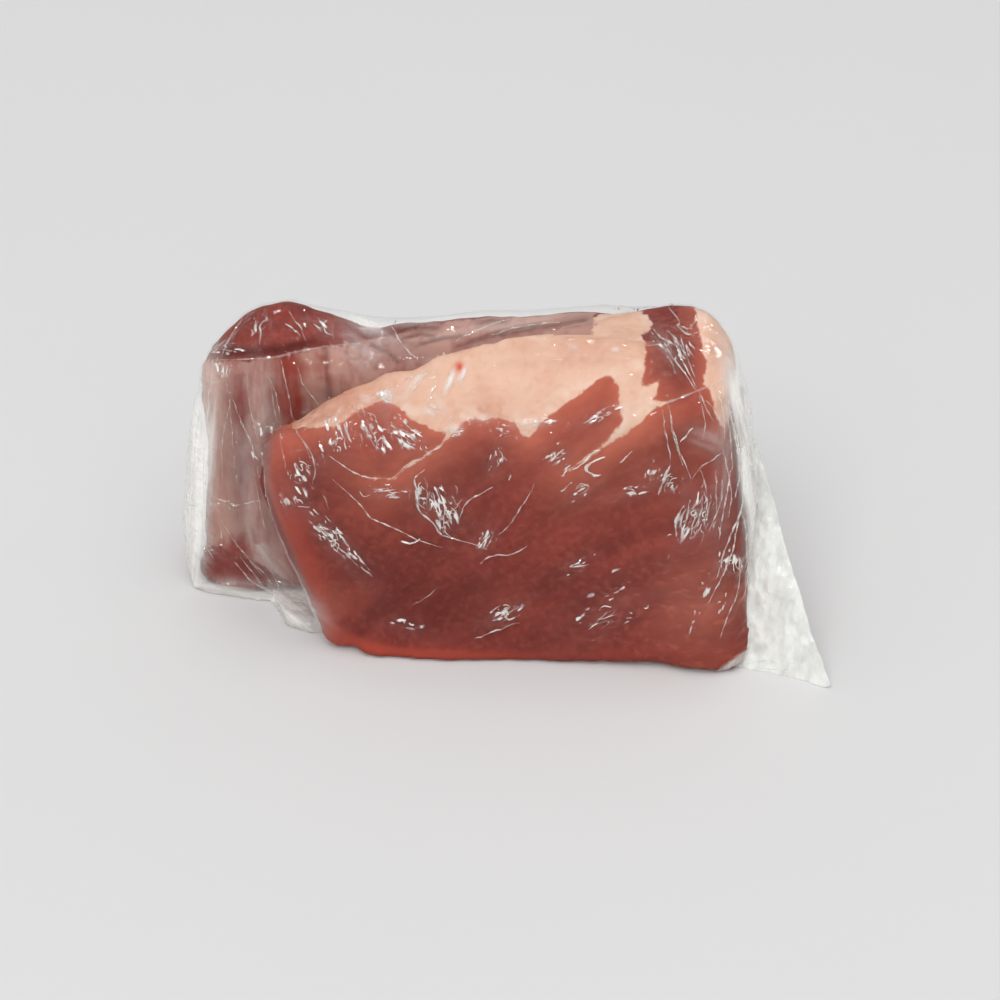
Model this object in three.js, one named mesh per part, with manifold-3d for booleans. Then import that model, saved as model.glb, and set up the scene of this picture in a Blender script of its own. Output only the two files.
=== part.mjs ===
// A slab of pork spare ribs, folded in half and sealed in a clear film bag.
// The pack stands on its long edge. +X is its length, -Y its front, +Z up, in millimetres.
// The origin is the middle of the base of its bounding box.

import * as THREE from 'three';
import * as BufferGeometryUtils from 'three/addons/utils/BufferGeometryUtils.js';
import Module from 'manifold-3d';

const wasm = await Module();
wasm.setup();

// Fold of the slab, seen from above: front leaf, bend at the right, longer back leaf
const FRONT_LEAF = 173;
const BACK_LEAF = 222;
const BEND_CENTRE = new THREE.Vector2(71.4, -4.75);
const BEND_RADIUS = 19.6;
const FRONT_SKEW = THREE.MathUtils.degToRad(4.9);
const BACK_SKEW = THREE.MathUtils.degToRad(5.7);

// Slab, out to the film that clings to it
const THICKNESS = 37;
const INNER_HALF = 18;
const LOBE_SWELL = 3.5;
const LOBE_SWELL_REACH = 105;
const TOP_CORNER = 17;
const BOTTOM_CORNER = 6;
const FACE_BELLY = 2.2;
const END_ROUND_FRONT = 11;
const END_ROUND_BACK = 17;
const SHOULDER_FRONT = 12;
const SHOULDER_BACK = 36;
const END_FOOT_LIFT = 0.4;

// Where the fold is tight its inner upper edge is sharp, so that the two leaves meet in one surface
const CREASE_CORNER = 5;
const CREASE_FROM = 105;
const CREASE_TO = 300;
const CREASE_FADE = 40;

// The bend is squarer at its front foot and draws in towards its top
const BEND_CORNER_FRONT = 10;
const BEND_CORNER_BACK = 3;
const BEND_CORNER_LOSS = 0.6;
const BEND_DRAW_IN = 7;
const BEND_DRAW_FROM = 85;

// Height of the slab's upper edge along the fold, on the outer and the inner side of the U
const HEIGHT_STATIONS = [0, 40, 100, 128, 175, 205, 235, 265, 308, 348, 388, 410];
const OUTER_HEIGHTS = [110, 118, 126, 131, 140, 147, 151, 150, 146, 141, 144, 144];
const INNER_HEIGHTS = [104, 124, 149, 151, 151, 151, 151, 150, 141, 133, 134, 134];

// Slanted ends: the front leaf is cut back at its foot, the back leaf leans out at its foot
const FRONT_CUT_BACK = 21;
const FRONT_CUT_HEIGHT = 90;
const FRONT_CUT_REACH = 70;
const BACK_LEAN = 12;
const BACK_LEAN_HEIGHT = 110;
const BACK_LEAN_REACH = 60;

// Relief
const LUMP = 1.6;
const LUMP_WAVES = [
  { share: 0.5, along: 23, up: 31, phase: 0 },
  { share: 0.3, along: 11, up: -17, phase: 1.3 },
  { share: 0.2, along: 7, up: 9, phase: 2.1 },
];
const RIB_DEPTH = 1.4;
const RIB_PITCH = 18;
const RIB_REACH = 75;
const RIB_FADE = 20;
const RIM_SHARE = 0.92;
const LIP_OUT = 5;
const LIP_HEIGHT = 8;
const LIP_FROM = 18;
const LIP_FULL = 30;
const LIP_FADE = 58;
const LIP_TO = 150;

// Film stretched across the gap between the leaves
const BRIDGE_RIGHT = 74.4;
const BRIDGE_HOLD_FRONT = 13;
const BRIDGE_HOLD_BACK = 6;
const BRIDGE_OVERHANG = 4;
const BRIDGE_SPLAY = 12;
const BRIDGE_SPLAY_HEIGHT = 125;
const BRIDGE_DROP = 11;
const BRIDGE_DROP_RIGHT = 0.4;
const BRIDGE_SAG = 2;

// Low hem of film on the surface
const WEB_WIDTH = 10;
const WEB_REACH = 30;
const WEB_HEIGHT = 6;
const WEB_ROUND = 2;

// Loose corner of the film bag at the right, a thin fin that lies out on the surface
const TAIL_TOP = 128;
const TAIL_EDGE_THICKNESS = 1.4;
const TAIL_ROOT_THICKNESS = 9;
const TAIL_RIPPLE = 1.1;
const TAIL_RIPPLE_TURNS = 7;
const TAIL_RIPPLE_SKEW = 5;
const TAIL_WEDGE = 0.6;
const TAIL_HOLD = 4;
const TAIL_ROOT_FOOT_ANGLE = THREE.MathUtils.degToRad(-66);
const TAIL_ROOT_TOP_ANGLE = THREE.MathUtils.degToRad(-8);
const TAIL_EDGE_FROM_BEND = [
  [75.5, -52.5, 0], [66.4, -40, 23], [56, -27, 52], [45.5, -14, 86], [37.5, -6, 112], [31, -2, TAIL_TOP],
];

// Mesh steps
const PATH_STEP = 8;
const BEND_STEP = 4.5;
const END_STEPS = 5;
const CORNER_STEPS = 4;
const FACE_STEPS = 7;
const EDGE_STEPS = 3;
const BRIDGE_STEPS = 18;
const BRIDGE_ACROSS = 5;
const BRIDGE_LEVELS = 6;
const TAIL_LEVELS = 16;
const TAIL_ACROSS = 8;

const FILM_COLOUR = 0xa9554c;
const FILM_ROUGHNESS = 0.3;

function foldPath() {
  const arcStart = -Math.PI / 2 - FRONT_SKEW;
  const arcEnd = Math.PI / 2 - BACK_SKEW;
  const bend = new THREE.EllipseCurve(
    BEND_CENTRE.x, BEND_CENTRE.y, BEND_RADIUS, BEND_RADIUS, arcStart, arcEnd, false, 0);
  const frontEnd = bend.getPoint(0);
  const backStart = bend.getPoint(1);
  const frontStart = new THREE.Vector2(
    frontEnd.x - FRONT_LEAF * Math.cos(FRONT_SKEW), frontEnd.y + FRONT_LEAF * Math.sin(FRONT_SKEW));
  const backEnd = new THREE.Vector2(
    backStart.x - BACK_LEAF * Math.cos(BACK_SKEW), backStart.y + BACK_LEAF * Math.sin(BACK_SKEW));
  const path = new THREE.CurvePath();
  path.add(new THREE.LineCurve(frontStart, frontEnd));
  path.add(bend);
  path.add(new THREE.LineCurve(backStart, backEnd));
  return path;
}

const fold = foldPath();
const foldLength = fold.getLength();

function smooth(low, high, value) {
  return THREE.MathUtils.smoothstep(value, low, high);
}

// Smooth curve through the values at the height stations
function heightAt(values, s) {
  const last = HEIGHT_STATIONS.length - 1;
  if (s >= HEIGHT_STATIONS[last]) {
    return values[last];
  }
  const next = HEIGHT_STATIONS.findIndex((station) => station > s);
  const share = smooth(HEIGHT_STATIONS[next - 1], HEIGHT_STATIONS[next], s);
  return THREE.MathUtils.lerp(values[next - 1], values[next], share);
}

// How far a rounded end of the given radius lies inside the full section
function roundInset(distance, radius) {
  if (distance >= radius) {
    return 0;
  }
  const left = 1 - distance / radius;
  return radius * (1 - Math.sqrt(1 - left * left));
}

// Gentle lumps of the meat, the same on each build
function lumps(along, up) {
  return LUMP * LUMP_WAVES.reduce(
    (sum, wave) => sum + wave.share * Math.sin(along / wave.along + up / wave.up + wave.phase), 0);
}

// How far the slanted cut of the front leaf's end lies back from its top, at a height
function frontCut(z) {
  return FRONT_CUT_BACK * Math.pow(Math.max(0, 1 - z / FRONT_CUT_HEIGHT), 1.3);
}

// Shift along the fold that gives both ends of the slab their slant
function slantShift(s, z) {
  const lean = BACK_LEAN * Math.pow(z / BACK_LEAN_HEIGHT, 1.5);
  const front = frontCut(z) * (1 - smooth(0, FRONT_CUT_REACH, s));
  const back = lean * smooth(foldLength - BACK_LEAN_REACH, foldLength, s);
  return front - back;
}

// Closed outline through four corners, each rounded to its own radius
function roundedLoop(corners, radii, sideSteps) {
  const points = [];
  corners.forEach((corner, i) => {
    const before = corners[(i + 3) % 4];
    const after = corners[(i + 1) % 4];
    const start = corner.clone().add(before.clone().sub(corner).setLength(radii[i]));
    const end = corner.clone().add(after.clone().sub(corner).setLength(radii[i]));
    const nextStart = after.clone().add(corner.clone().sub(after).setLength(radii[(i + 1) % 4]));
    const arc = new THREE.QuadraticBezierCurve(start, corner, end);
    for (let k = 0; k < CORNER_STEPS; k += 1) {
      points.push(arc.getPoint(k / CORNER_STEPS));
    }
    for (let k = 0; k < sideSteps[i]; k += 1) {
      points.push(end.clone().lerp(nextStart, k / sideSteps[i]));
    }
  });
  return points;
}

// Section of the slab at a distance along the fold: x is outward from the middle of the leaf, y is up
function slabSection(s) {
  const toFront = s;
  const toBack = foldLength - s;
  const inset = Math.max(roundInset(toFront, END_ROUND_FRONT), roundInset(toBack, END_ROUND_BACK));
  const drop = Math.max(roundInset(toFront, SHOULDER_FRONT), roundInset(toBack, SHOULDER_BACK));
  const swell = LOBE_SWELL * (1 - smooth(LOBE_SWELL_REACH / 2, LOBE_SWELL_REACH, toBack));
  const outer = THICKNESS / 2 + swell - inset;
  const inner = -INNER_HALF + inset;
  const foot = inset * END_FOOT_LIFT;
  const outerTop = heightAt(OUTER_HEIGHTS, s) - drop;
  const innerTop = heightAt(INNER_HEIGHTS, s) - drop;
  const squeeze = (outer - inner) / THICKNESS;
  const topRadius = TOP_CORNER * squeeze;
  const footRadius = BOTTOM_CORNER * squeeze;
  const crease = smooth(CREASE_FROM, CREASE_FROM + CREASE_FADE, s)
    * (1 - smooth(CREASE_TO - CREASE_FADE, CREASE_TO, s));
  const innerRadius = THREE.MathUtils.lerp(topRadius, CREASE_CORNER, crease);
  return roundedLoop(
    [
      new THREE.Vector2(outer, foot),
      new THREE.Vector2(inner, foot),
      new THREE.Vector2(inner, innerTop),
      new THREE.Vector2(outer, outerTop),
    ],
    [footRadius, footRadius, innerRadius, topRadius],
    [EDGE_STEPS, FACE_STEPS, EDGE_STEPS, FACE_STEPS]);
}

// How far the bend stands out from a plain half circle
function bendSwell(s, z) {
  const turn = (s - FRONT_LEAF) / BEND_RADIUS - Math.PI / 2;
  if (Math.abs(turn) > Math.PI / 2) {
    return 0;
  }
  const corner = turn < 0 ? BEND_CORNER_FRONT : BEND_CORNER_BACK;
  const rise = smooth(BEND_DRAW_FROM, Math.max(...OUTER_HEIGHTS), z);
  const square = corner * Math.sin(2 * turn) ** 2 * (1 - BEND_CORNER_LOSS * rise);
  const drawn = BEND_DRAW_IN * Math.cos(turn) * rise;
  return square - drawn;
}

// Outward relief of a section point: belly, lumps and lip in front, ribs on the bone side
function relief(s, point, height) {
  const rise = point.y / height;
  const belly = FACE_BELLY * Math.sin(Math.PI * THREE.MathUtils.clamp(rise, 0, 1));
  if (point.x > 0) {
    const lip = LIP_OUT * Math.exp(-((point.y / LIP_HEIGHT) ** 2))
      * smooth(LIP_FROM, LIP_FULL, s) * (1 - smooth(LIP_FADE, LIP_TO, s));
    const lift = smooth(0, BOTTOM_CORNER, point.y);
    return belly + lift * lumps(s, point.y) + lip + bendSwell(s, point.y);
  }
  const bare = 1 - smooth(RIB_REACH - RIB_FADE, RIB_REACH, foldLength - s);
  const ribs = RIB_DEPTH * Math.cos(2 * Math.PI * (foldLength - s) / RIB_PITCH);
  return -bare * belly * (1 + ribs / FACE_BELLY) - smooth(RIM_SHARE, 1, rise) * LUMP;
}

// Place of a section point on the slab, at a distance along the fold
function slabPoint(s, point, height) {
  const outward = point.x + relief(s, point, height);
  const shifted = s + slantShift(s, point.y);
  const share = THREE.MathUtils.clamp(shifted / foldLength, 0, 1);
  const centre = fold.getPoint(share);
  const tangent = fold.getTangent(share);
  const beyond = shifted - share * foldLength;
  return new THREE.Vector3(
    centre.x + tangent.y * outward + tangent.x * beyond,
    centre.y - tangent.x * outward + tangent.y * beyond,
    point.y);
}

// Distances along the fold of the slab's rings, closer together at its round ends and in the bend
function slabStations() {
  const start = [];
  const end = [];
  for (let k = 0; k < END_STEPS; k += 1) {
    const depth = 1 - Math.cos((k / END_STEPS) * (Math.PI / 2));
    start.push(END_ROUND_FRONT * depth);
    end.unshift(foldLength - END_ROUND_BACK * depth);
  }
  const spans = [
    [END_ROUND_FRONT, FRONT_LEAF, PATH_STEP],
    [FRONT_LEAF, foldLength - BACK_LEAF, BEND_STEP],
    [foldLength - BACK_LEAF, foldLength - END_ROUND_BACK, PATH_STEP],
  ];
  const middle = spans.flatMap(([from, to, step]) => {
    const count = Math.round((to - from) / step);
    return Array.from({ length: count }, (_, k) => from + (to - from) * (k / count));
  });
  return [...start, ...middle, foldLength - END_ROUND_BACK, ...end];
}

// Closed surface through rings of equal count, with a middle point on each end ring
function closedLoft(rings) {
  const positions = [];
  const indices = [];
  const perRing = rings[0].length;
  rings.flat().forEach((p) => positions.push(p.x, p.y, p.z));
  for (let i = 0; i + 1 < rings.length; i += 1) {
    for (let k = 0; k < perRing; k += 1) {
      const a = i * perRing + k;
      const b = i * perRing + (k + 1) % perRing;
      const c = a + perRing;
      const d = b + perRing;
      indices.push(a, b, d, a, d, c);
    }
  }
  [0, rings.length - 1].forEach((i) => {
    const middle = new THREE.Vector3();
    rings[i].forEach((p) => middle.addScaledVector(p, 1 / perRing));
    const tip = positions.length / 3;
    positions.push(middle.x, middle.y, middle.z);
    for (let k = 0; k < perRing; k += 1) {
      const a = i * perRing + k;
      const b = i * perRing + (k + 1) % perRing;
      indices.push(...(i === 0 ? [b, a, tip] : [a, b, tip]));
    }
  });
  const geometry = new THREE.BufferGeometry();
  geometry.setAttribute('position', new THREE.Float32BufferAttribute(positions, 3));
  geometry.setIndex(indices);
  return geometry;
}

function foldedSlab() {
  const rings = slabStations().map((s) => {
    const height = (heightAt(OUTER_HEIGHTS, s) + heightAt(INNER_HEIGHTS, s)) / 2;
    return slabSection(s).map((point) => slabPoint(s, point, height));
  });
  return closedLoft(rings);
}

// Middle of the leaf at a place along X, as a distance along the fold
function frontDistance(x) {
  return (x - fold.getPoint(0).x) / Math.cos(FRONT_SKEW);
}

function backDistance(x) {
  return foldLength - (x - fold.getPoint(1).x) / Math.cos(BACK_SKEW);
}

// Film that spans the gap between the two leaves, above it and at its open left end
function filmBridge() {
  const left = fold.getPoint(0).x - BRIDGE_OVERHANG;
  const rings = [];
  for (let i = 0; i <= BRIDGE_STEPS; i += 1) {
    const share = i / BRIDGE_STEPS;
    const x = THREE.MathUtils.lerp(left, BRIDGE_RIGHT, share);
    const front = THREE.MathUtils.clamp(frontDistance(x), 0, FRONT_LEAF);
    const back = backDistance(x);
    const drop = THREE.MathUtils.lerp(BRIDGE_DROP, BRIDGE_DROP_RIGHT, smooth(0.4, 0.75, share));
    const frontTop = heightAt(INNER_HEIGHTS, front) - drop;
    const backTop = heightAt(INNER_HEIGHTS, back) - drop;
    const frontY = fold.getPoint(front / foldLength).y + BRIDGE_HOLD_FRONT;
    const backY = fold.getPoint(back / foldLength).y - BRIDGE_HOLD_BACK;
    const place = (t, z) => {
      const splay = BRIDGE_SPLAY * (1 - t) * (1 - smooth(BRIDGE_SPLAY_HEIGHT / 3, BRIDGE_SPLAY_HEIGHT, z));
      return new THREE.Vector3(
        x + (frontCut(z) * t - splay) * (1 - share), THREE.MathUtils.lerp(backY, frontY, t), z);
    };
    const ring = [];
    for (let k = 0; k <= BRIDGE_ACROSS; k += 1) {
      const t = k / BRIDGE_ACROSS;
      const sag = BRIDGE_SAG * 4 * t * (1 - t);
      ring.push(place(t, THREE.MathUtils.lerp(backTop, frontTop, t) - sag));
    }
    for (let k = 1; k < BRIDGE_LEVELS; k += 1) {
      ring.push(place(1, frontTop * (1 - k / BRIDGE_LEVELS)));
    }
    for (let k = BRIDGE_ACROSS; k >= 0; k -= 1) {
      ring.push(place(k / BRIDGE_ACROSS, 0));
    }
    for (let k = 1; k < BRIDGE_LEVELS; k += 1) {
      ring.push(place(0, backTop * (k / BRIDGE_LEVELS)));
    }
    rings.push(ring);
  }
  return closedLoft(rings);
}

// Low hem of film on the surface, along the foot of the lobe and in the corner by the front leaf
function filmWeb() {
  const corner = fold.getPoint(0);
  const lobeEnd = fold.getPoint(1);
  const lobeFront = lobeEnd.y - INNER_HALF;
  const shape = new THREE.Shape();
  shape.moveTo(corner.x + WEB_REACH, corner.y - WEB_WIDTH);
  shape.quadraticCurveTo(corner.x + 6, corner.y - 2, corner.x, lobeFront - WEB_WIDTH);
  shape.quadraticCurveTo(corner.x - 20, lobeFront - WEB_WIDTH, lobeEnd.x + 8, lobeFront - WEB_WIDTH / 2);
  shape.quadraticCurveTo(lobeEnd.x, lobeFront, lobeEnd.x + 3, lobeFront + WEB_WIDTH);
  shape.lineTo(corner.x + WEB_REACH, corner.y + WEB_REACH);
  const web = new THREE.ExtrudeGeometry(shape, {
    depth: WEB_HEIGHT - 2 * WEB_ROUND, curveSegments: 8, bevelEnabled: true, bevelThickness: WEB_ROUND,
    bevelSize: WEB_ROUND, bevelOffset: -WEB_ROUND, bevelSegments: 2,
  });
  return web.translate(0, 0, WEB_ROUND);
}

// Free edge of the loose film corner, from its tip on the surface up to the top of the bend
function tailEdge() {
  return new THREE.CatmullRomCurve3(TAIL_EDGE_FROM_BEND.map(
    ([x, y, z]) => new THREE.Vector3(BEND_CENTRE.x + x, BEND_CENTRE.y + y, z)));
}

// Fin between the bend and its free edge, ring by ring up from the surface
function filmTail() {
  const edge = tailEdge();
  const reach = BEND_RADIUS + THICKNESS / 2 - TAIL_HOLD;
  const rings = [];
  for (let i = 0; i <= TAIL_LEVELS; i += 1) {
    const rise = i / TAIL_LEVELS;
    const tip = edge.getPoint(rise);
    const angle = THREE.MathUtils.lerp(TAIL_ROOT_FOOT_ANGLE, TAIL_ROOT_TOP_ANGLE, rise);
    const root = new THREE.Vector3(
      BEND_CENTRE.x + reach * Math.cos(angle), BEND_CENTRE.y + reach * Math.sin(angle), tip.z);
    const along = tip.clone().sub(root);
    const rootThickness = Math.min(TAIL_ROOT_THICKNESS, along.length() / 4);
    along.normalize();
    const sideways = new THREE.Vector3(along.y, -along.x, 0);
    const place = (share, side) => {
      const ripple = TAIL_RIPPLE * share * Math.sin(share * TAIL_RIPPLE_TURNS + rise * TAIL_RIPPLE_SKEW);
      const thickness = THREE.MathUtils.lerp(
        rootThickness, TAIL_EDGE_THICKNESS, smooth(0, TAIL_WEDGE, share));
      return root.clone().lerp(tip, share).addScaledVector(sideways, ripple + side * thickness / 2);
    };
    const ring = [];
    for (let k = 0; k <= TAIL_ACROSS; k += 1) {
      ring.push(place(k / TAIL_ACROSS, 1));
    }
    for (let k = TAIL_ACROSS; k >= 0; k -= 1) {
      ring.push(place(k / TAIL_ACROSS, -1));
    }
    rings.push(ring);
  }
  return closedLoft(rings);
}

function solidFrom(geometry) {
  const bare = geometry.clone();
  bare.deleteAttribute('normal');
  bare.deleteAttribute('uv');
  const merged = BufferGeometryUtils.mergeVertices(bare, 1e-4);
  const mesh = new wasm.Mesh({
    numProp: 3,
    vertProperties: Float32Array.from(merged.attributes.position.array),
    triVerts: Uint32Array.from(merged.index.array),
  });
  mesh.merge();
  return new wasm.Manifold(mesh);
}

function geometryFrom(solid) {
  const mesh = solid.getMesh();
  const geometry = new THREE.BufferGeometry();
  geometry.setAttribute('position', new THREE.BufferAttribute(mesh.vertProperties, 3));
  geometry.setIndex(new THREE.BufferAttribute(mesh.triVerts, 1));
  geometry.computeVertexNormals();
  return geometry;
}

// Moves the geometry so that the middle of the base of its box is the origin
function standOnOrigin(geometry) {
  geometry.computeBoundingBox();
  const box = geometry.boundingBox;
  const middle = box.getCenter(new THREE.Vector3());
  return geometry.translate(-middle.x, -middle.y, -box.min.z);
}

function filmPack() {
  const solid = [foldedSlab(), filmBridge(), filmWeb(), filmTail()]
    .map(solidFrom)
    .reduce((whole, piece) => whole.add(piece));
  const material = new THREE.MeshStandardMaterial({
    color: FILM_COLOUR, roughness: FILM_ROUGHNESS, metalness: 0,
  });
  const pack = new THREE.Mesh(standOnOrigin(geometryFrom(solid)), material);
  pack.name = 'film_pack';
  return pack;
}

const group = new THREE.Group();
group.add(filmPack());

export default group;
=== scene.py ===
# Pork spare ribs: a raw slab folded in half and sealed in a clear film bag, standing on its long edge.
# Lengths are in millimetres and become metres as the meshes are made. +X runs along the pack, -Y is its
# front and +Z is up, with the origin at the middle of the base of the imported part's box.

import math

import bpy
import numpy as np
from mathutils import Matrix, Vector
from mathutils.bvhtree import BVHTree


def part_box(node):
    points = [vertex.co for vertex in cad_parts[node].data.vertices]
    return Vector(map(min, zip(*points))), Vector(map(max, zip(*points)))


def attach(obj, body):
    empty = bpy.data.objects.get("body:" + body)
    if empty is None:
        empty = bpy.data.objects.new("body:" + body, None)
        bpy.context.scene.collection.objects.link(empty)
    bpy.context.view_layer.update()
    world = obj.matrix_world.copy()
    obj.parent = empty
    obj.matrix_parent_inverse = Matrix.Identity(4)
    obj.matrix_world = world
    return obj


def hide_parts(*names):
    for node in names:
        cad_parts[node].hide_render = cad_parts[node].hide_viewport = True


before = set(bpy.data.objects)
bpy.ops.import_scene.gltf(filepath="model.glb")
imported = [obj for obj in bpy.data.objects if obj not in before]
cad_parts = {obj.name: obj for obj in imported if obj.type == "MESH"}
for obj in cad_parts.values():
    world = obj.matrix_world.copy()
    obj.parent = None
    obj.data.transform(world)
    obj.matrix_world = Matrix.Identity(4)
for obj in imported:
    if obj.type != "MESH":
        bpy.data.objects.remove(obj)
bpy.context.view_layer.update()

MM = 0.001

# Camera: it looks down on the pack, and the photograph's frame is 1000 pixels wide
CAMERA_ELEVATION = math.radians(34)
CAMERA_DISTANCE = 1300
CAMERA_TARGET = np.array([-1.6, -4.9, 66.0])
FRAME_WIDTH = 450
FRAME_PIXELS = 1000
SENSOR = 36

# Fold of the slab in plan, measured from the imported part's box
low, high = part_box("film_pack")
TAIL_TIP_FROM_BEND = 75.5
FRONT_FROM_BEND = 53.84
BEND_CENTRE = np.array([high.x / MM - TAIL_TIP_FROM_BEND, low.y / MM + FRONT_FROM_BEND])
FRONT_LEAF = 173
BACK_LEAF = 222
BEND_RADIUS = 19.6
FRONT_SKEW = math.radians(4.9)
BACK_SKEW = math.radians(5.7)
BEND_SWEEP = math.pi + FRONT_SKEW - BACK_SKEW
FOLD_LENGTH = FRONT_LEAF + BEND_RADIUS * BEND_SWEEP + BACK_LEAF

# Slab section, out to the film
THICKNESS = 37
INNER_HALF = 18
LOBE_SWELL = 3.5
LOBE_SWELL_REACH = 105
TOP_CORNER = 17
BOTTOM_CORNER = 6
FACE_BELLY = 2.2
END_ROUND_FRONT = 11
END_ROUND_BACK = 17
SHOULDER_FRONT = 12
SHOULDER_BACK = 36
END_FOOT_LIFT = 0.4
CREASE_CORNER = 5
CREASE_FROM = 105
CREASE_TO = 300
CREASE_FADE = 40
BEND_CORNER_FRONT = 10
BEND_CORNER_BACK = 3
BEND_CORNER_LOSS = 0.6
BEND_DRAW_IN = 7
BEND_DRAW_FROM = 85
HEIGHT_STATIONS = np.array([0, 40, 100, 128, 175, 205, 235, 265, 308, 348, 388, 410])
OUTER_HEIGHTS = np.array([110, 118, 126, 131, 140, 147, 151, 150, 146, 141, 144, 144])
INNER_HEIGHTS = np.array([104, 124, 149, 151, 151, 151, 151, 150, 141, 133, 134, 134])
FRONT_CUT_BACK = 21
FRONT_CUT_HEIGHT = 90
FRONT_CUT_REACH = 70
BACK_LEAN = 12
BACK_LEAN_HEIGHT = 110
BACK_LEAN_REACH = 60
LUMP = 1.6
LUMP_WAVES = ((0.5, 23, 31, 0), (0.3, 11, -17, 1.3), (0.2, 7, 9, 2.1))
RIB_DEPTH = 1.4
RIB_PITCH = 18
RIB_REACH = 75
RIB_FADE = 20
RIM_SHARE = 0.92
LIP_OUT = 5
LIP_HEIGHT = 8
LIP_FROM = 18
LIP_FULL = 30
LIP_FADE = 58
LIP_TO = 150
SIDE_BLEND = 4

# Film across the gap between the leaves, its low hem and its loose corner
BRIDGE_RIGHT = BEND_CENTRE[0] + 3
BRIDGE_HOLD_FRONT = 13
BRIDGE_HOLD_BACK = 6
BRIDGE_OVERHANG = 4
BRIDGE_SPLAY = 12
BRIDGE_SPLAY_HEIGHT = 125
BRIDGE_DROP = 11
BRIDGE_DROP_RIGHT = 0.4
BRIDGE_SAG = 2
WEB_WIDTH = 10
WEB_REACH = 30
WEB_HEIGHT = 6
TAIL_TOP = 128
TAIL_HOLD = 4
TAIL_ROOT_FOOT_ANGLE = math.radians(-66)
TAIL_ROOT_TOP_ANGLE = math.radians(-8)
TAIL_TIP_ROUND = 0.06
TAIL_TIP_SHARE = 0.035
TAIL_LEVELS = 150
TAIL_ACROSS = 70
TAIL_THICKNESS = 0.25
TAIL_RIPPLE = 1.1
TAIL_EDGE_FROM_BEND = (
    (75.5, -52.5, 0), (66.4, -40, 23), (56, -27, 52), (45.5, -14, 86), (37.5, -6, 112),
    (31, -2, TAIL_TOP),
)

# Meat under the film, lower than it along the top of the back leaf and shorter at the lobe's foot
FILM_GAP = 1.7
BEND_HEIGHTS = (17, 38, 66, 88, 112, 132, 143, 150)
BEND_OFFSETS = (2.5, 1.2, 0, -2.5, -3.5, -2.5, 2, 1.5)
CORNER_FLARE = 4.5
CORNER_FLARE_HEIGHT = 20
CORNER_FLARE_TURN = math.radians(55)
TOP_SINK_STATIONS = (242, 262, 320, 343, 355, 365, 373, 382, 392, 400, 408, 416, 425)
TOP_SINKS = (0, 1, 0.9, 1, 2.8, 8.3, 9, 5.5, 2.3, -1, -2.5, -1.5, 0)
# Swellings of the meat: pixel place, reach across and down, height, and from where to where along the fold
MEAT_SWELLS = (
    (212, 375, 18, 40, 3, 425, 460), (214, 328, 18, 16, 0.4, 420, 460), (203, 568, 14, 14, 4, 425, 460),
    (235, 584, 40, 10, 4, 390, 460), (698, 316, 30, 20, 3.5, 165, 250), (388, 380, 26, 16, 6, 20, 170),
    (432, 362, 24, 14, 3.5, 20, 170), (498, 340, 22, 10, 2.5, 20, 170),
    (462, 350, 24, 12, 1.5, 20, 170), (490, 656, 190, 10, 2.5, 0, 200),
    (274, 443, 14, 14, 1.2, -10, 34),
)
SWELL_FADE = 8
FAT_GROOVE = 0.6
EDGE_SWELL = 0.5
MEAT_SINK = 0.3
MEAT_FOOT = 0.5
FRONT_PUSH = 6.5
FRONT_PUSH_HEIGHT = 85
FRONT_PUSH_REACH = 30
LOBE_SHORT = 6
LOBE_SHORT_HEIGHT = 120
FAT_FOLD_DEPTH = 26
FAT_FOLD_EDGE = (
    (-18, -11, 133), (-4, -2, 145), (10, 3, 149), (25, 8.5, 150), (43, 15, 150), (60, 22, 149.5),
    (72, 23, 147),
)
STEP = 3
VOXEL = 1.5


def smooth(start, end, value):
    share = np.clip((value - start) / (end - start), 0, 1)
    return share * share * (3 - 2 * share)


def wave_noise(points, size, seed, stretch=(1, 1, 1), waves=20):
    """Smooth noise of about -1 to 1 from seeded plane waves of about the given size."""
    rng = np.random.default_rng(seed)
    total = np.zeros(len(points))
    scaled = points / np.array(stretch)
    for _ in range(waves):
        direction = rng.normal(size=3)
        direction *= 2 * np.pi * rng.uniform(0.6, 1.6) / (size * np.linalg.norm(direction))
        total += np.sin(scaled @ direction + rng.uniform(0, 2 * np.pi))
    return total * math.sqrt(2 / waves) * 0.6


# Camera mathematics

def camera_axes():
    rise, level = math.sin(CAMERA_ELEVATION), math.cos(CAMERA_ELEVATION)
    right = np.array([1.0, 0, 0])
    upward = np.array([0, rise, level])
    backward = np.array([0, -level, rise])
    return right, upward, backward


RIGHT, UPWARD, BACKWARD = camera_axes()
EYE = CAMERA_TARGET + BACKWARD * CAMERA_DISTANCE
FOCAL_PIXELS = FRAME_PIXELS * CAMERA_DISTANCE / FRAME_WIDTH


def pixels_of(points):
    """Where points fall in the photograph's frame."""
    away = points - EYE
    depth = -(away @ BACKWARD)
    across = FRAME_PIXELS / 2 + FOCAL_PIXELS * (away @ RIGHT) / depth
    down = FRAME_PIXELS / 2 - FOCAL_PIXELS * (away @ UPWARD) / depth
    return np.stack([across, down], -1)


def ray_through(pixel):
    offset = (pixel[0] - FRAME_PIXELS / 2) * RIGHT + (FRAME_PIXELS / 2 - pixel[1]) * UPWARD
    direction = offset / FOCAL_PIXELS - BACKWARD
    return direction / np.linalg.norm(direction)


def distance_to_line(pixels, line):
    """Distance from each pixel to the nearest part of a line of points."""
    nearest = np.full(len(pixels), 1e9)
    for start, end in zip(line[:-1], line[1:]):
        start = np.array(start, float)
        along = np.array(end, float) - start
        share = np.clip(((pixels - start) @ along) / (along @ along), 0, 1)
        nearest = np.minimum(nearest, np.linalg.norm(pixels - start - share[:, None] * along, axis=1))
    return nearest


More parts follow.
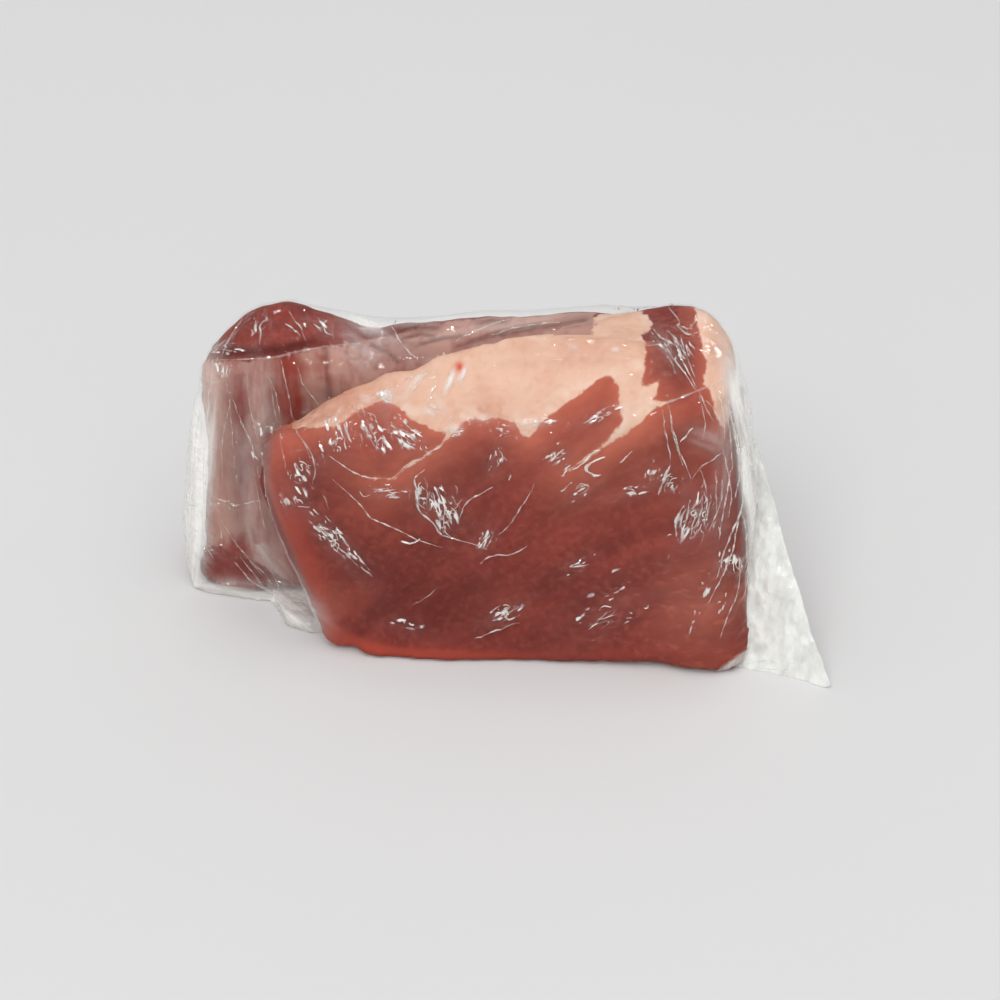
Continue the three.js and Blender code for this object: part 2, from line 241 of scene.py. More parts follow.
def inside_outline(pixels, outline):
    """Distance from each pixel to the outline, positive inside it."""
    closed = list(outline) + [outline[0]]
    inside = np.zeros(len(pixels), bool)
    for (x0, y0), (x1, y1) in zip(closed[:-1], closed[1:]):
        if y0 == y1:
            continue
        crosses = (y0 > pixels[:, 1]) != (y1 > pixels[:, 1])
        inside ^= crosses & (pixels[:, 0] < x0 + (pixels[:, 1] - y0) * (x1 - x0) / (y1 - y0))
    return np.where(inside, 1, -1) * distance_to_line(pixels, closed)


# The folded slab

def height_at(values, s):
    after = np.clip(np.searchsorted(HEIGHT_STATIONS, s, side="right"), 1, len(HEIGHT_STATIONS) - 1)
    share = smooth(HEIGHT_STATIONS[after - 1], HEIGHT_STATIONS[after], s)
    return values[after - 1] + (values[after] - values[after - 1]) * share


def round_inset(distance, radius):
    left = 1 - np.clip(distance / radius, 0, 1)
    return radius * (1 - np.sqrt(1 - left * left))


def lumps(s, z):
    return LUMP * sum(share * np.sin(s / along + z / up + phase) for share, along, up, phase in LUMP_WAVES)


def front_cut(z):
    return FRONT_CUT_BACK * np.maximum(0, 1 - z / FRONT_CUT_HEIGHT) ** 1.3


def slant_shift(s, z):
    lean = BACK_LEAN * (np.maximum(z, 0) / BACK_LEAN_HEIGHT) ** 1.5
    front = front_cut(z) * (1 - smooth(0, FRONT_CUT_REACH, s))
    return front - lean * smooth(FOLD_LENGTH - BACK_LEAN_REACH, FOLD_LENGTH, s)


def fold_place(s):
    """Middle of the slab in plan at a distance along the fold, and the direction of the fold there."""
    turn = np.clip((s - FRONT_LEAF) / BEND_RADIUS, 0, BEND_SWEEP)
    angle = turn - math.pi / 2 - FRONT_SKEW
    tangent = np.stack([-np.sin(angle), np.cos(angle)], -1)
    beyond = s - FRONT_LEAF - turn * BEND_RADIUS
    centre = BEND_CENTRE + BEND_RADIUS * np.stack([np.cos(angle), np.sin(angle)], -1)
    return centre + tangent * beyond[..., None], tangent


FRONT_END = fold_place(np.zeros(1))[0][0]
BACK_END = fold_place(np.full(1, FOLD_LENGTH))[0][0]


def front_distance(x):
    """Distance along the fold where the front leaf's middle is at x."""
    return (x - FRONT_END[0]) / math.cos(FRONT_SKEW)


def back_distance(x):
    return FOLD_LENGTH - (x - BACK_END[0]) / math.cos(BACK_SKEW)


def curve_through(knots, count):
    """Points along a smooth curve through the knots."""
    knots = np.asarray(knots, float)
    spots = np.linspace(0, len(knots) - 1, count)
    i = np.minimum(spots.astype(int), len(knots) - 2)
    t = (spots - i)[:, None]
    before, start = knots[np.maximum(i - 1, 0)], knots[i]
    end, after = knots[i + 1], knots[np.minimum(i + 2, len(knots) - 1)]
    return 0.5 * (2 * start + (end - before) * t + (2 * before - 5 * start + 4 * end - after) * t ** 2
                  + (3 * start - before - 3 * end + after) * t ** 3)


def fold_distance(points):
    """Distance along the fold of points in plan, and how far out they lie from the slab's middle."""
    offset = points[:, :2] - BEND_CENTRE
    turn = np.arctan2(offset[:, 1], offset[:, 0]) + math.pi / 2 + FRONT_SKEW
    front = np.array([math.cos(FRONT_SKEW), -math.sin(FRONT_SKEW)])
    back = np.array([-math.cos(BACK_SKEW), math.sin(BACK_SKEW)])
    along_front = offset @ front
    along_back = offset @ back
    side_front = offset @ np.array([front[1], -front[0]]) - BEND_RADIUS
    side_back = offset @ np.array([back[1], -back[0]]) - BEND_RADIUS
    on_front = (along_front < 0) & (np.abs(side_front) < np.abs(side_back))
    on_back = (along_back > 0) & ~on_front
    s = FRONT_LEAF + np.clip(turn, 0, BEND_SWEEP) * BEND_RADIUS
    outward = np.linalg.norm(offset, axis=1) - BEND_RADIUS
    s = np.where(on_front, FRONT_LEAF + along_front, s)
    outward = np.where(on_front, side_front, outward)
    s = np.where(on_back, FOLD_LENGTH - BACK_LEAF + along_back, s)
    outward = np.where(on_back, side_back, outward)
    return s, outward


def rounded_loop(corners, radii, corner_steps, side_steps):
    """Closed outlines through four corners each, every corner rounded to its own radius."""
    def toward(start, end, length):
        way = end - start
        return start + way * (length / np.linalg.norm(way, axis=-1))[..., None]

    parts = []
    for i in range(4):
        corner, before, after = corners[i], corners[i - 1], corners[(i + 1) % 4]
        start = toward(corner, before, radii[i])
        end = toward(corner, after, radii[i])
        next_start = toward(after, corner, radii[(i + 1) % 4])
        for k in range(corner_steps[i]):
            t = k / corner_steps[i]
            parts.append((1 - t) ** 2 * start + 2 * t * (1 - t) * corner + t * t * end)
        for k in range(side_steps[i]):
            parts.append(end + (next_start - end) * k / side_steps[i])
    return np.stack(parts, 1)


def slab_section(s, gap, step):
    to_back = FOLD_LENGTH - s
    inset = np.maximum(round_inset(s, END_ROUND_FRONT), round_inset(to_back, END_ROUND_BACK))
    drop = np.maximum(round_inset(s, SHOULDER_FRONT), round_inset(to_back, SHOULDER_BACK)) + gap
    if gap:
        drop = drop + np.interp(s, TOP_SINK_STATIONS, TOP_SINKS)
    swell = LOBE_SWELL * (1 - smooth(LOBE_SWELL_REACH / 2, LOBE_SWELL_REACH, to_back))
    outer = THICKNESS / 2 + swell - inset - gap
    inner = -INNER_HALF + inset + gap
    foot = inset * END_FOOT_LIFT + gap / 2
    squeeze = (outer - inner) / THICKNESS
    crease = smooth(10, 22, s) if gap else smooth(CREASE_FROM, CREASE_FROM + CREASE_FADE, s)
    crease = crease * (1 - smooth(CREASE_TO - CREASE_FADE, CREASE_TO, s))
    top_radius = TOP_CORNER * squeeze
    foot_radius = BOTTOM_CORNER * squeeze
    corners = [
        np.stack([outer, foot], -1),
        np.stack([inner, foot], -1),
        np.stack([inner, height_at(INNER_HEIGHTS, s) - drop], -1),
        np.stack([outer, height_at(OUTER_HEIGHTS, s) - drop], -1),
    ]
    radii = [foot_radius, foot_radius, top_radius + (CREASE_CORNER - top_radius) * crease, top_radius]
    foot_steps = math.ceil(BOTTOM_CORNER * 1.6 / step)
    top_steps = math.ceil(TOP_CORNER * 1.6 / step)
    face_steps = math.ceil(OUTER_HEIGHTS.mean() / step)
    edge_steps = math.ceil(THICKNESS / 2 / step)
    return rounded_loop(
        corners, radii, [foot_steps, foot_steps, top_steps, top_steps],
        [edge_steps, face_steps, edge_steps, face_steps])


def bend_swell(s, z):
    turn = (s - FRONT_LEAF) / BEND_RADIUS - math.pi / 2
    corner = np.where(turn < 0, BEND_CORNER_FRONT, BEND_CORNER_BACK)
    rise = smooth(BEND_DRAW_FROM, OUTER_HEIGHTS.max(), z)
    square = corner * np.sin(2 * turn) ** 2 * (1 - BEND_CORNER_LOSS * rise)
    swell = square - BEND_DRAW_IN * np.cos(turn) * rise
    return np.where(np.abs(turn) > math.pi / 2, 0, swell)


def slab_relief(s, x, z, height):
    rise = z / height
    belly = FACE_BELLY * np.sin(math.pi * np.clip(rise, 0, 1))
    lip = LIP_OUT * np.exp(-((z / LIP_HEIGHT) ** 2))
    lip = lip * smooth(LIP_FROM, LIP_FULL, s) * (1 - smooth(LIP_FADE, LIP_TO, s))
    outer = belly + smooth(0, BOTTOM_CORNER, z) * lumps(s, z) + lip + bend_swell(s, z)
    to_back = FOLD_LENGTH - s
    bare = 1 - smooth(RIB_REACH - RIB_FADE, RIB_REACH, to_back)
    ribs = RIB_DEPTH * np.cos(2 * math.pi * to_back / RIB_PITCH)
    inner = -bare * belly * (1 + ribs / FACE_BELLY) - smooth(RIM_SHARE, 1, rise) * LUMP
    share = smooth(-SIDE_BLEND, SIDE_BLEND, x)
    return inner + (outer - inner) * share


def meat_bend(s, z):
    """How far the meat at the bend stands out from the film: drawn in high up, flared at the foot."""
    turn = (s - FRONT_LEAF) / BEND_RADIUS
    drawn = np.interp(z, BEND_HEIGHTS, BEND_OFFSETS) * np.sin(np.clip(turn, 0, math.pi))
    foot = np.exp(-(z / CORNER_FLARE_HEIGHT) ** 2)
    return drawn + CORNER_FLARE * foot * np.exp(-((turn - CORNER_FLARE_TURN) / 0.6) ** 2)


def slab_stations(gap, step):
    def ease(radius):
        count = math.ceil(radius * math.pi / 2 / step)
        return radius * (1 - np.cos(np.arange(count) / count * math.pi / 2))

    start = gap + ease(END_ROUND_FRONT)
    end = FOLD_LENGTH - gap - ease(END_ROUND_BACK)[::-1]
    count = math.ceil((end[0] - start[-1]) / step)
    middle = np.linspace(start[-1], end[0], count + 1)[1:-1]
    return np.concatenate([start, middle, end])


def slab_rings(gap, step):
    """Rings of points on the slab, this far inside its film."""
    s = slab_stations(gap, step)
    section = slab_section(s, gap, step)
    along = np.repeat(s[:, None], section.shape[1], 1)
    x, z = section[..., 0], section[..., 1]
    height = (height_at(OUTER_HEIGHTS, along) + height_at(INNER_HEIGHTS, along)) / 2
    outward = x + slab_relief(along, x, z, height)
    if gap:
        outward = outward + meat_bend(along, z) * smooth(-SIDE_BLEND, SIDE_BLEND, x)
    short = LOBE_SHORT * (1 - smooth(LOBE_SHORT_HEIGHT / 2, LOBE_SHORT_HEIGHT, z)) * (gap > 0)
    short = short * smooth(FOLD_LENGTH - BACK_LEAN_REACH, FOLD_LENGTH, along)
    push = FRONT_PUSH * np.exp(-((z - FRONT_PUSH_HEIGHT) / FRONT_PUSH_REACH) ** 2) * (gap > 0)
    push = push * (1 - smooth(0, FRONT_PUSH_REACH, along))
    centre, tangent = fold_place(along + slant_shift(along, z) - short - push)
    return np.stack([
        centre[..., 0] + tangent[..., 1] * outward,
        centre[..., 1] - tangent[..., 0] * outward,
        z], -1)


def fat_fold_rings(steps):
    """Fat of the front leaf that lies over the closed top of the fold, ring by ring along the pack."""
    rings = []
    for x, back, top in curve_through(FAT_FOLD_EDGE, steps):
        front_y = fold_place(np.minimum([front_distance(x)], FRONT_LEAF))[0][0, 1]
        low = top - FAT_FOLD_DEPTH
        profile = [
            (front_y, low), (back - 3, low), (back - 1, top - 6), (back, top - 3.5), (back - 1.2, top - 1.2),
            (back - 4, top), (front_y + 16, top), (front_y + 8, top - 3),
        ]
        rings.append([(x, y, z) for y, z in profile])
    return rings


def close_rings(rings, cap_rings):
    """Adds shrinking rings at both ends, so that the loft can be closed with a point."""
    def caps(ring):
        middle = ring.mean(0)
        return [middle + (ring - middle) * (1 - k / cap_rings) for k in range(1, cap_rings)]

    return np.array(caps(rings[0])[::-1] + list(rings) + caps(rings[-1]))


def ring_quads(ring_count, per_ring, closed=True):
    """Quads between rings of points, or between rows where they aren't closed."""
    k = np.arange(per_ring if closed else per_ring - 1)
    following = (k + 1) % per_ring
    ring = per_ring * np.arange(ring_count - 1)[:, None]
    corners = [ring + k, ring + following, ring + per_ring + following, ring + per_ring + k]
    return np.stack(corners, -1).reshape(-1, 4).tolist()


def shifted(faces, offset):
    return [[offset + i for i in face] for face in faces]


def loft_faces(ring_count, per_ring):
    """Quads between rings, and a fan of triangles at each end to a point that follows the rings."""
    total = ring_count * per_ring
    end = total - per_ring
    around = [(k, (k + 1) % per_ring) for k in range(per_ring)]
    fans = [[b, a, total] for a, b in around] + [[end + a, end + b, total + 1] for a, b in around]
    return ring_quads(ring_count, per_ring) + fans


def make_mesh(name, points, faces):
    """Mesh object from points in millimetres."""
    mesh = bpy.data.meshes.new(name)
    mesh.from_pydata((np.asarray(points) * MM).tolist(), [], faces)
    mesh.update()
    mesh.shade_smooth()
    piece = bpy.data.objects.new(name, mesh)
    bpy.context.scene.collection.objects.link(piece)
    return piece


def closed_loft(name, rings):
    rings = np.asarray(rings)
    points = np.concatenate([rings.reshape(-1, 3), rings[0].mean(0)[None], rings[-1].mean(0)[None]])
    return make_mesh(name, points, loft_faces(len(rings), rings.shape[1]))


def read_points(piece):
    flat = np.empty(len(piece.data.vertices) * 3)
    piece.data.vertices.foreach_get("co", flat)
    return flat.reshape(-1, 3) / MM


def read_normals(piece):
    flat = np.empty(len(piece.data.vertices) * 3, np.float32)
    piece.data.vertex_normals.foreach_get("vector", flat)
    return flat.reshape(-1, 3).astype(float)


def write_points(piece, points):
    piece.data.vertices.foreach_set("co", (points * MM).ravel())
    piece.data.update()


def write_fields(piece, **fields):
    for name, values in fields.items():
        field = piece.data.attributes.new(name, "FLOAT", "POINT")
        field.data.foreach_set("value", np.asarray(values, np.float32))


def write_place(piece, name, places):
    field = piece.data.attributes.new(name, "FLOAT_VECTOR", "POINT")
    field.data.foreach_set("vector", np.asarray(places * MM, np.float32).ravel())


# Outlines on the meat, in the photograph's pixels

FAT_CAP = (
    (294, 430), (303, 428), (335, 427), (348, 417), (362, 409), (376, 402), (388, 402), (400, 408),
    (409, 419), (429, 428), (441, 433), (454, 433), (462, 423), (471, 420), (499, 418), (514, 422),
    (520, 433), (530, 438), (541, 423), (561, 406), (583, 391), (600, 380), (610, 375), (615, 381),
    (619, 390), (619, 403), (622, 421), (613, 434), (602, 444), (588, 455), (566, 472), (592, 457),
    (616, 440), (633, 429), (645, 418), (656, 407), (668, 403), (653, 400), (656, 395), (659, 380),
    (641, 389), (644, 372), (646, 344), (642, 334), (650, 330), (653, 321), (643, 313), (640, 306),
    (590, 317), (550, 324), (500, 330), (475, 334), (440, 342), (400, 355), (350, 372), (320, 386),
    (300, 398), (288, 420),
)
FAT_STRIP = (
    (692, 298), (696, 311), (697, 326), (702, 339), (702, 353), (707, 361), (706, 369), (704, 384),
    (711, 392), (714, 408), (719, 424), (724, 428), (730, 414), (738, 390), (750, 385), (745, 330),
    (725, 294),
)
LIP = (
    (318, 600), (330, 616), (345, 631), (370, 642), (400, 648), (450, 651), (520, 652), (600, 650),
    (680, 646), (752, 640), (760, 680), (380, 675), (322, 640),
)
PALE_SEAM = (
    (449, 434), (441, 446), (430, 452), (423, 459), (414, 462), (405, 468), (393, 478), (382, 480),
    (368, 478),
)
HEM_LEFT = (
    (190, 361), (209, 360), (250, 359), (278, 357), (292, 353), (306, 350), (334, 345), (362, 342),
    (398, 334),
)
# Upper edge of the pale skin: it follows the hem and goes on over the back leaf's top
SKIN_EDGE = HEM_LEFT + ((425, 322), (470, 316), (600, 306))
FOOT_LEAN = (
    (190, 556), (203, 549), (214, 545), (226, 548), (238, 558), (250, 561), (262, 566), (276, 575),
    (292, 582), (292, 600), (240, 602), (190, 600),
)
# The rib groove is darkened with painted shade; the ring is a dark mark on a rib
RIB_GROOVE = ((325, 346), (327, 370), (330, 400), (322, 420))
RIB_RING = (354, 351)
RIB_RING_RADIUS = 8
BLOOD_SPOT = (459, 367)
# Lines of painted shadow and painted shade in the crease of the closed top, between the leaves, in pixels
TOP_SHADOWS = (((400, 330), (438, 329)), ((478, 323), (505, 321)), ((455, 347), (520, 333), (585, 319)))
TOP_SHADE_STRANDS = (
    ((399, 332), (415, 327), (437, 328)), ((402, 339), (420, 334), (434, 336)),
    ((480, 323), (492, 320), (504, 322)), ((457, 346), (480, 340), (505, 333)),
    ((470, 341), (500, 331), (540, 324)), ((500, 336), (545, 326), (585, 320)),
    ((420, 344), (445, 338), (462, 336)), ((372, 345), (388, 352), (398, 362)),
)
# Darker places of the lean, painted shade with some darker meat, and patches of the bone side: middle, reach
# across and down, strength
LEAN_PAINTED_SHADE = (
    (425, 595, 85, 38, 0.56), (600, 605, 60, 26, 0.16), (300, 350, 60, 10, 0.4),
    (560, 485, 70, 26, 0.16), (280, 318, 44, 18, 0.18), (280, 455, 14, 24, 0.32),
    (405, 345, 50, 14, 0.4), (480, 325, 40, 8, 0.2), (676, 350, 22, 44, 0.45), (530, 660, 130, 8, 0.4),
    (262, 582, 44, 14, 0.22),
)
LEAN_LIGHTS = (
    (650, 450, 55, 50, 0.28), (700, 605, 45, 55, 0.62), (335, 600, 24, 20, 0.3),
    (480, 515, 24, 14, 0.1), (500, 600, 40, 24, 0.12),
)
DULL_TOPS = ((410, 345, 50, 16, 0.8), (490, 328, 60, 12, 0.8))
# Soft dark spots: painted shade in the valley between the leaves, and darker places of the bone side
DARK_SPOTS = (
    (398, 352, 34, 16, 0.25), (440, 348, 34, 12, 0.12), (350, 366, 24, 10, 0.15),
    (230, 480, 12, 60, 0.3), (268, 420, 14, 30, 0.12), (262, 505, 14, 40, 0.15),
)
FAT_SHADES = (
    (595, 345, 38, 20, 0.7), (482, 412, 48, 14, 0.6), (505, 398, 26, 12, 0.25),
    (520, 346, 30, 10, 0.55), (340, 412, 34, 14, 0.6), (714, 345, 10, 34, 0.6), (450, 350, 30, 6, 0.5),
    (300, 408, 22, 14, 0.5), (332, 388, 20, 9, 0.5), (370, 370, 24, 8, 0.5), (410, 358, 26, 7, 0.5),
    (722, 420, 8, 24, 0.3),
)
STRIP_SHADE = ((676, 350, 26, 44, 0.8),)
RED_PATCHES = ((242, 412, 6, 22, 0.9), (262, 470, 5, 40, 0.35), (236, 548, 26, 12, 0.8))
PALE_PATCHES = (
    (440, 338, 60, 14, 0.35), (530, 326, 60, 12, 0.45), (259, 402, 9, 24, 0.7),
    (345, 352, 14, 14, 0.35), (250, 508, 12, 22, 0.4), (212, 430, 7, 60, 0.3),
)
# Bands of the bone side: pixel column at the middle of the lobe, share of pale skin, share of red
BONE_BANDS = np.array((
    (190, 0.7, 0.05), (206, 0.95, 0.0), (216, 0.8, 0.05), (224, 0.4, 0.15), (234, 0.2, 0.25),
    (252, 0.3, 0.2), (262, 0.35, 0.2), (272, 0.25, 0.3), (282, 0.2, 0.6), (288, 0.05, 1.0),
    (297, 0.05, 0.9), (304, 0.35, 0.35), (316, 0.5, 0.1), (327, 0.3, 0.3), (336, 0.55, 0.1),
    (352, 0.6, 0.1), (366, 0.4, 0.2), (420, 0.3, 0.3), (450, 0.45, 0.1),
))
BONE_SLANT = 0.1
BONE_MIDDLE = 400
# Along the fold: where the front's outlines and the fat's shades end, and where the back leaf's top begins
FRONT_SIDE_TO = 205
FAT_SHADE_TO = 240
BACK_TOP_FROM = 232
PIXEL_SIZE = FRAME_WIDTH / FRAME_PIXELS
# Half width of the pale seam, and what keeps the cap's fat off the back leaf, in pixels
PALE_SEAM_HALF = 1.1
BEHIND_CUT = 60
# Band of fat on the back: height of its lower edge at the bend, how far that climbs, and its upper edge
BACK_FAT_FOOT = 104
BACK_FAT_CLIMB = 62
BACK_FAT_TOP = 137


def from_spot(pixels, spot):
    return np.linalg.norm(pixels - np.array(spot), axis=1)


def slab_places(points):
    """Distance along the fold, how far outward and how high, of points on the slab."""
    s, outward = fold_distance(points)
    z = points[:, 2]
    return np.stack([s - slant_shift(s, z), outward, z], -1)


def shown_share(places):
    """How far the photograph's outlines hold at a place: on the front, the bend and the pack's top."""
    s, x, z = places.T
    front = 1 - smooth(FRONT_SIDE_TO, FRONT_SIDE_TO + 30, s)
    front = front * np.maximum(smooth(-16, -8, x), smooth(92, 102, z))
    far_side = smooth(10, 17, x) * smooth(BACK_TOP_FROM, BACK_TOP_FROM + 13, s)
    top = smooth(118, 126, z) * (1 - far_side)
    return np.maximum(front, top)


def shown_fat(points):
    """Signed distance into the fat that the photograph shows: the cap, the strip and the pale seam."""
    pixels = pixels_of(points)
    leaf_x = points[:, 0]
    leaf_back = fold_place(np.clip(front_distance(leaf_x), 0, FRONT_LEAF))[0][:, 1] + INNER_HALF
    edge_x, edge_y, _ = np.array(FAT_FOLD_EDGE).T
    leaf_back = np.maximum(leaf_back, np.interp(leaf_x, edge_x, edge_y))
    behind = smooth(1, 4, points[:, 1] - leaf_back) * (1 - smooth(545, 585, pixels[:, 0]))
    cap = inside_outline(pixels, FAT_CAP) - BEHIND_CUT * behind
    strip = inside_outline(pixels, FAT_STRIP)
    seam = PALE_SEAM_HALF - distance_to_line(pixels, PALE_SEAM)
    return max_of([cap, strip, seam]) * PIXEL_SIZE


def hidden_fat(points, places):
    """Signed distance into the fat elsewhere: a ragged band on the back and seams inside the fold."""
    s, x, z = places.T
    foot = BACK_FAT_FOOT + BACK_FAT_CLIMB * smooth(330, 415, s)
    foot = foot + 9 * np.sin(s / 13) + 6 * np.sin(s / 6.1 + 1)
    seams = 0.9 * wave_noise(places, 40, 12) - 10 * np.abs(wave_noise(places, 75, 11, (1, 1, 1.8)))
    seams = seams - 3 * smooth(-8, 0, x)
    hidden = np.where(x > 0, np.minimum(z - foot, BACK_FAT_TOP - z), seams)
    lean_foot = smooth(-14, -4, inside_outline(pixels_of(points), FOOT_LEAN)) * (s > 390)
    return hidden - 40 * lean_foot


def fat_field(points, places):
    """Signed distance into the fat, in millimetres."""
    share = shown_share(places)
    return shown_fat(points) * share + hidden_fat(points, places) * (1 - share)


def below_hem(pixels):
    hem = np.array(SKIN_EDGE, float)
    return pixels[:, 1] - np.interp(pixels[:, 0], hem[:, 0], hem[:, 1])


def membrane_field(points, places):
    """Signed distance into the pale membrane of the bone side, in millimetres."""
    s, x, z = places.T
    pixels = pixels_of(points)
    foot = inside_outline(pixels, FOOT_LEAN)
    lobe = np.minimum(below_hem(pixels), -foot) * PIXEL_SIZE
    over_top = INNER_HALF * smooth(95, 110, z)
    return np.minimum(np.minimum(lobe, over_top - INNER_HALF / 2 - x), s - FOLD_LENGTH + BACK_LEAF * 0.85)


def near_line(pixels, line, reach):
    return np.exp(-(distance_to_line(pixels, line) / reach) ** 2)


def on_lobe(s, x):
    return (x < 0) & (s > FOLD_LENGTH - BACK_LEAF * 0.75)


def dark_marks_and_painted_shade(pixels, s, x, z):
    """Dark places: a ring on the ribs, painted shade in the rib groove, a painted shadow band above the hem,
    painted shade along the crease of the closed top, and soft dark spots.
    """
    ring = np.exp(-((from_spot(pixels, RIB_RING) - RIB_RING_RADIUS) / 1.6) ** 2)
    rib_ring_and_groove_shade = np.maximum(0.55 * near_line(pixels, RIB_GROOVE, 3), 0.5 * ring)
    hem_shadow = np.exp(-((below_hem(pixels) + 7) / 5) ** 2) * smooth(215, 232, pixels[:, 0])
    hem_shadow = hem_shadow * (1 - smooth(300, 340, pixels[:, 0]))
    strands = [0.5 * near_line(pixels, line, 5) for line in TOP_SHADOWS]
    strands += [0.8 * near_line(pixels, line, 2.6) for line in TOP_SHADE_STRANDS]
    return max_of([
        np.maximum(rib_ring_and_groove_shade, hem_shadow) * on_lobe(s, x),
        max_of(strands) * smooth(100, 112, z) * (s > BACK_TOP_FROM),
        spots_field(pixels, DARK_SPOTS) * (s > FOLD_LENGTH - BACK_LEAF)])


def leaf_end_bands(s, x, z):
    """Dull band and vivid rim along the front leaf's cut end."""
    inward = s + FRONT_PUSH * np.exp(-((z - FRONT_PUSH_HEIGHT) / FRONT_PUSH_REACH) ** 2)
    dull = (1 - smooth(4, 8, inward)) * smooth(25, 45, z) * (1 - smooth(102, 110, z)) * (s < 30)
    rim = smooth(4, 8, inward) * (1 - smooth(10, 24, inward)) * (s < 50) * (x > -12)
    return dull, 0.7 * rim


def meat_fields(piece, points, places):
    """Writes the fields that the meat's material is coloured by."""
    s, x, z = places.T
    pixels = pixels_of(points)
    fat = fat_field(points, places)
    column = pixels[:, 0] - BONE_SLANT * (pixels[:, 1] - BONE_MIDDLE)
    pale, red = [np.interp(column, BONE_BANDS[:, 0], BONE_BANDS[:, k]) for k in (1, 2)]
    front = (s < FRONT_SIDE_TO) & (x > 0)
    on_top = smooth(125, 132, z) * (s > BACK_TOP_FROM)
    dull, rim = leaf_end_bands(s, x, z)
    lip = smooth(-4, 5, inside_outline(pixels, LIP)) * front * (1 - 0.75 * smooth(430, 600, pixels[:, 0]))
    near_fat = np.exp(-np.maximum(-fat, 0) / 11) * (1 - on_top) * (1 - spots_field(pixels, STRIP_SHADE))
    near_fat = near_fat * (1 - smooth(380, 400, s) * (x < 0)) + spots_field(pixels, LEAN_LIGHTS) * front
    write_fields(
        piece,
        fat=fat,
        membrane=membrane_field(points, places),
        pale=pale + spots_field(pixels, PALE_PATCHES),
        red=red + spots_field(pixels, RED_PATCHES),
        # dark: mostly painted shade and shadow, with the rib ring and the dull band
        dark=np.maximum(dark_marks_and_painted_shade(pixels, s, x, z), 0.5 * dull),
        # shade: painted shade over the lean, in its darker places
        shade=spots_field(pixels, LEAN_PAINTED_SHADE) * (front | (z > 100) | on_lobe(s, x)),
        dull=np.clip(dull + spots_field(pixels, DULL_TOPS) * on_top, 0, 1),
        blood=(s < FRONT_LEAF) * np.exp(-(from_spot(pixels, BLOOD_SPOT) / 5) ** 2),
        near_fat=near_fat,
        vivid=np.maximum(rim, lip),
        flecks=smooth(540, 680, pixels[:, 0]) * smooth(520, 590, pixels[:, 1]) * front,
        tip=np.clip(1 - smooth(20, 78, s) + spots_field(pixels, FAT_SHADES) * (s < FAT_SHADE_TO), 0, 1),
    )
    write_place(piece, "place", places)


def max_of(fields):
    return np.max(fields, axis=0)


def spots_field(pixels, spots):
    """Sum of soft spots: middle, reach across and down, strength."""
    total = np.zeros(len(pixels))
    for x, y, across, down, strength in spots:
        away = (pixels - np.array([x, y])) / np.array([across, down])
        total += strength * np.exp(-(away ** 2).sum(1))
    return total


# Materials

class Material:
    """A new material, with short ways to add nodes to its tree."""

    def __init__(self, name):
        self.made = bpy.data.materials.new(name)
        self.made.use_nodes = True
        self.tree = self.made.node_tree
        self.shader = self.tree.nodes["Principled BSDF"]

    def put(self, socket, value):
        if isinstance(value, bpy.types.NodeSocket):
            self.tree.links.new(value, socket)
        else:
            socket.default_value = value

    def shade(self, name, value):
        """Links or sets an input of the surface shader."""
        self.put(self.shader.inputs[name], value)

    def add(self, kind, inputs, output=0, **settings):
        """Adds a node with these settings and inputs, and gives one of its outputs."""
        node = self.tree.nodes.new("ShaderNode" + kind)
        for name, value in settings.items():
            setattr(node, name, value)
        for name, value in inputs.items():
            self.put(node.inputs[name], value)
        return node.outputs[output]

    def attribute(self, name, output="Fac"):
        return self.add("Attribute", {}, output, attribute_name=name)

    def math(self, operation, *values):
        return self.add("Math", dict(enumerate(values)), operation=operation)

    def product(self, first, second):
        return self.math("MULTIPLY", first, second)

    def product_and(self, first, second, more):
        return self.math("MULTIPLY_ADD", first, second, more)

    def ramp(self, value, from_low, from_high, to_low=0.0, to_high=1.0):
        limits = {"From Min": from_low, "From Max": from_high, "To Min": to_low, "To Max": to_high}
        return self.add("MapRange", {"Value": value, **limits}, "Result", interpolation_type="SMOOTHSTEP")

    def mix(self, share, first, second):
        return self.add("Mix", {"Factor": share, "A": first, "B": second}, "Result", data_type="RGBA")

    def noise(self, vector, scale, detail=3.0, roughness=0.55, distortion=0.0, output="Fac"):
        form = {"Scale": scale, "Detail": detail, "Roughness": roughness, "Distortion": distortion}
        return self.add("TexNoise", {"Vector": vector, **form}, output)

    def stretched(self, vector, scale, turn=(0, 0, 0)):
        return self.add("Mapping", {"Vector": vector, "Scale": scale, "Rotation": turn}, "Vector")

    def bump(self, height, strength, distance):
        return self.add("Bump", {"Height": height, "Strength": strength, "Distance": distance}, "Normal")


LEAN_DARK = (0.172, 0.0295, 0.0242, 1)
LEAN_MID = (0.277, 0.0485, 0.037, 1)
LEAN_PALE = (0.54, 0.150, 0.095, 1)
LEAN_VIVID = (0.37, 0.058, 0.036, 1)
# LEAN_DEEP colours the dark fibres, and also the meat's painted shade and shadow
LEAN_DEEP = (0.085, 0.014, 0.012, 1)
LEAN_DULL = (0.29, 0.090, 0.075, 1)
FAT_PEACH = (0.76, 0.488, 0.364, 1)
FAT_PINK = (0.60, 0.295, 0.205, 1)
FAT_CREAM = (0.80, 0.60, 0.49, 1)
MEMBRANE_PINK = (0.58, 0.325, 0.260, 1)
MEMBRANE_GREY = (0.325, 0.160, 0.138, 1)
MEMBRANE_RED = (0.28, 0.050, 0.036, 1)
BLOOD_RED = (0.62, 0.035, 0.010, 1)
FIBRE_TURN = math.radians(38)


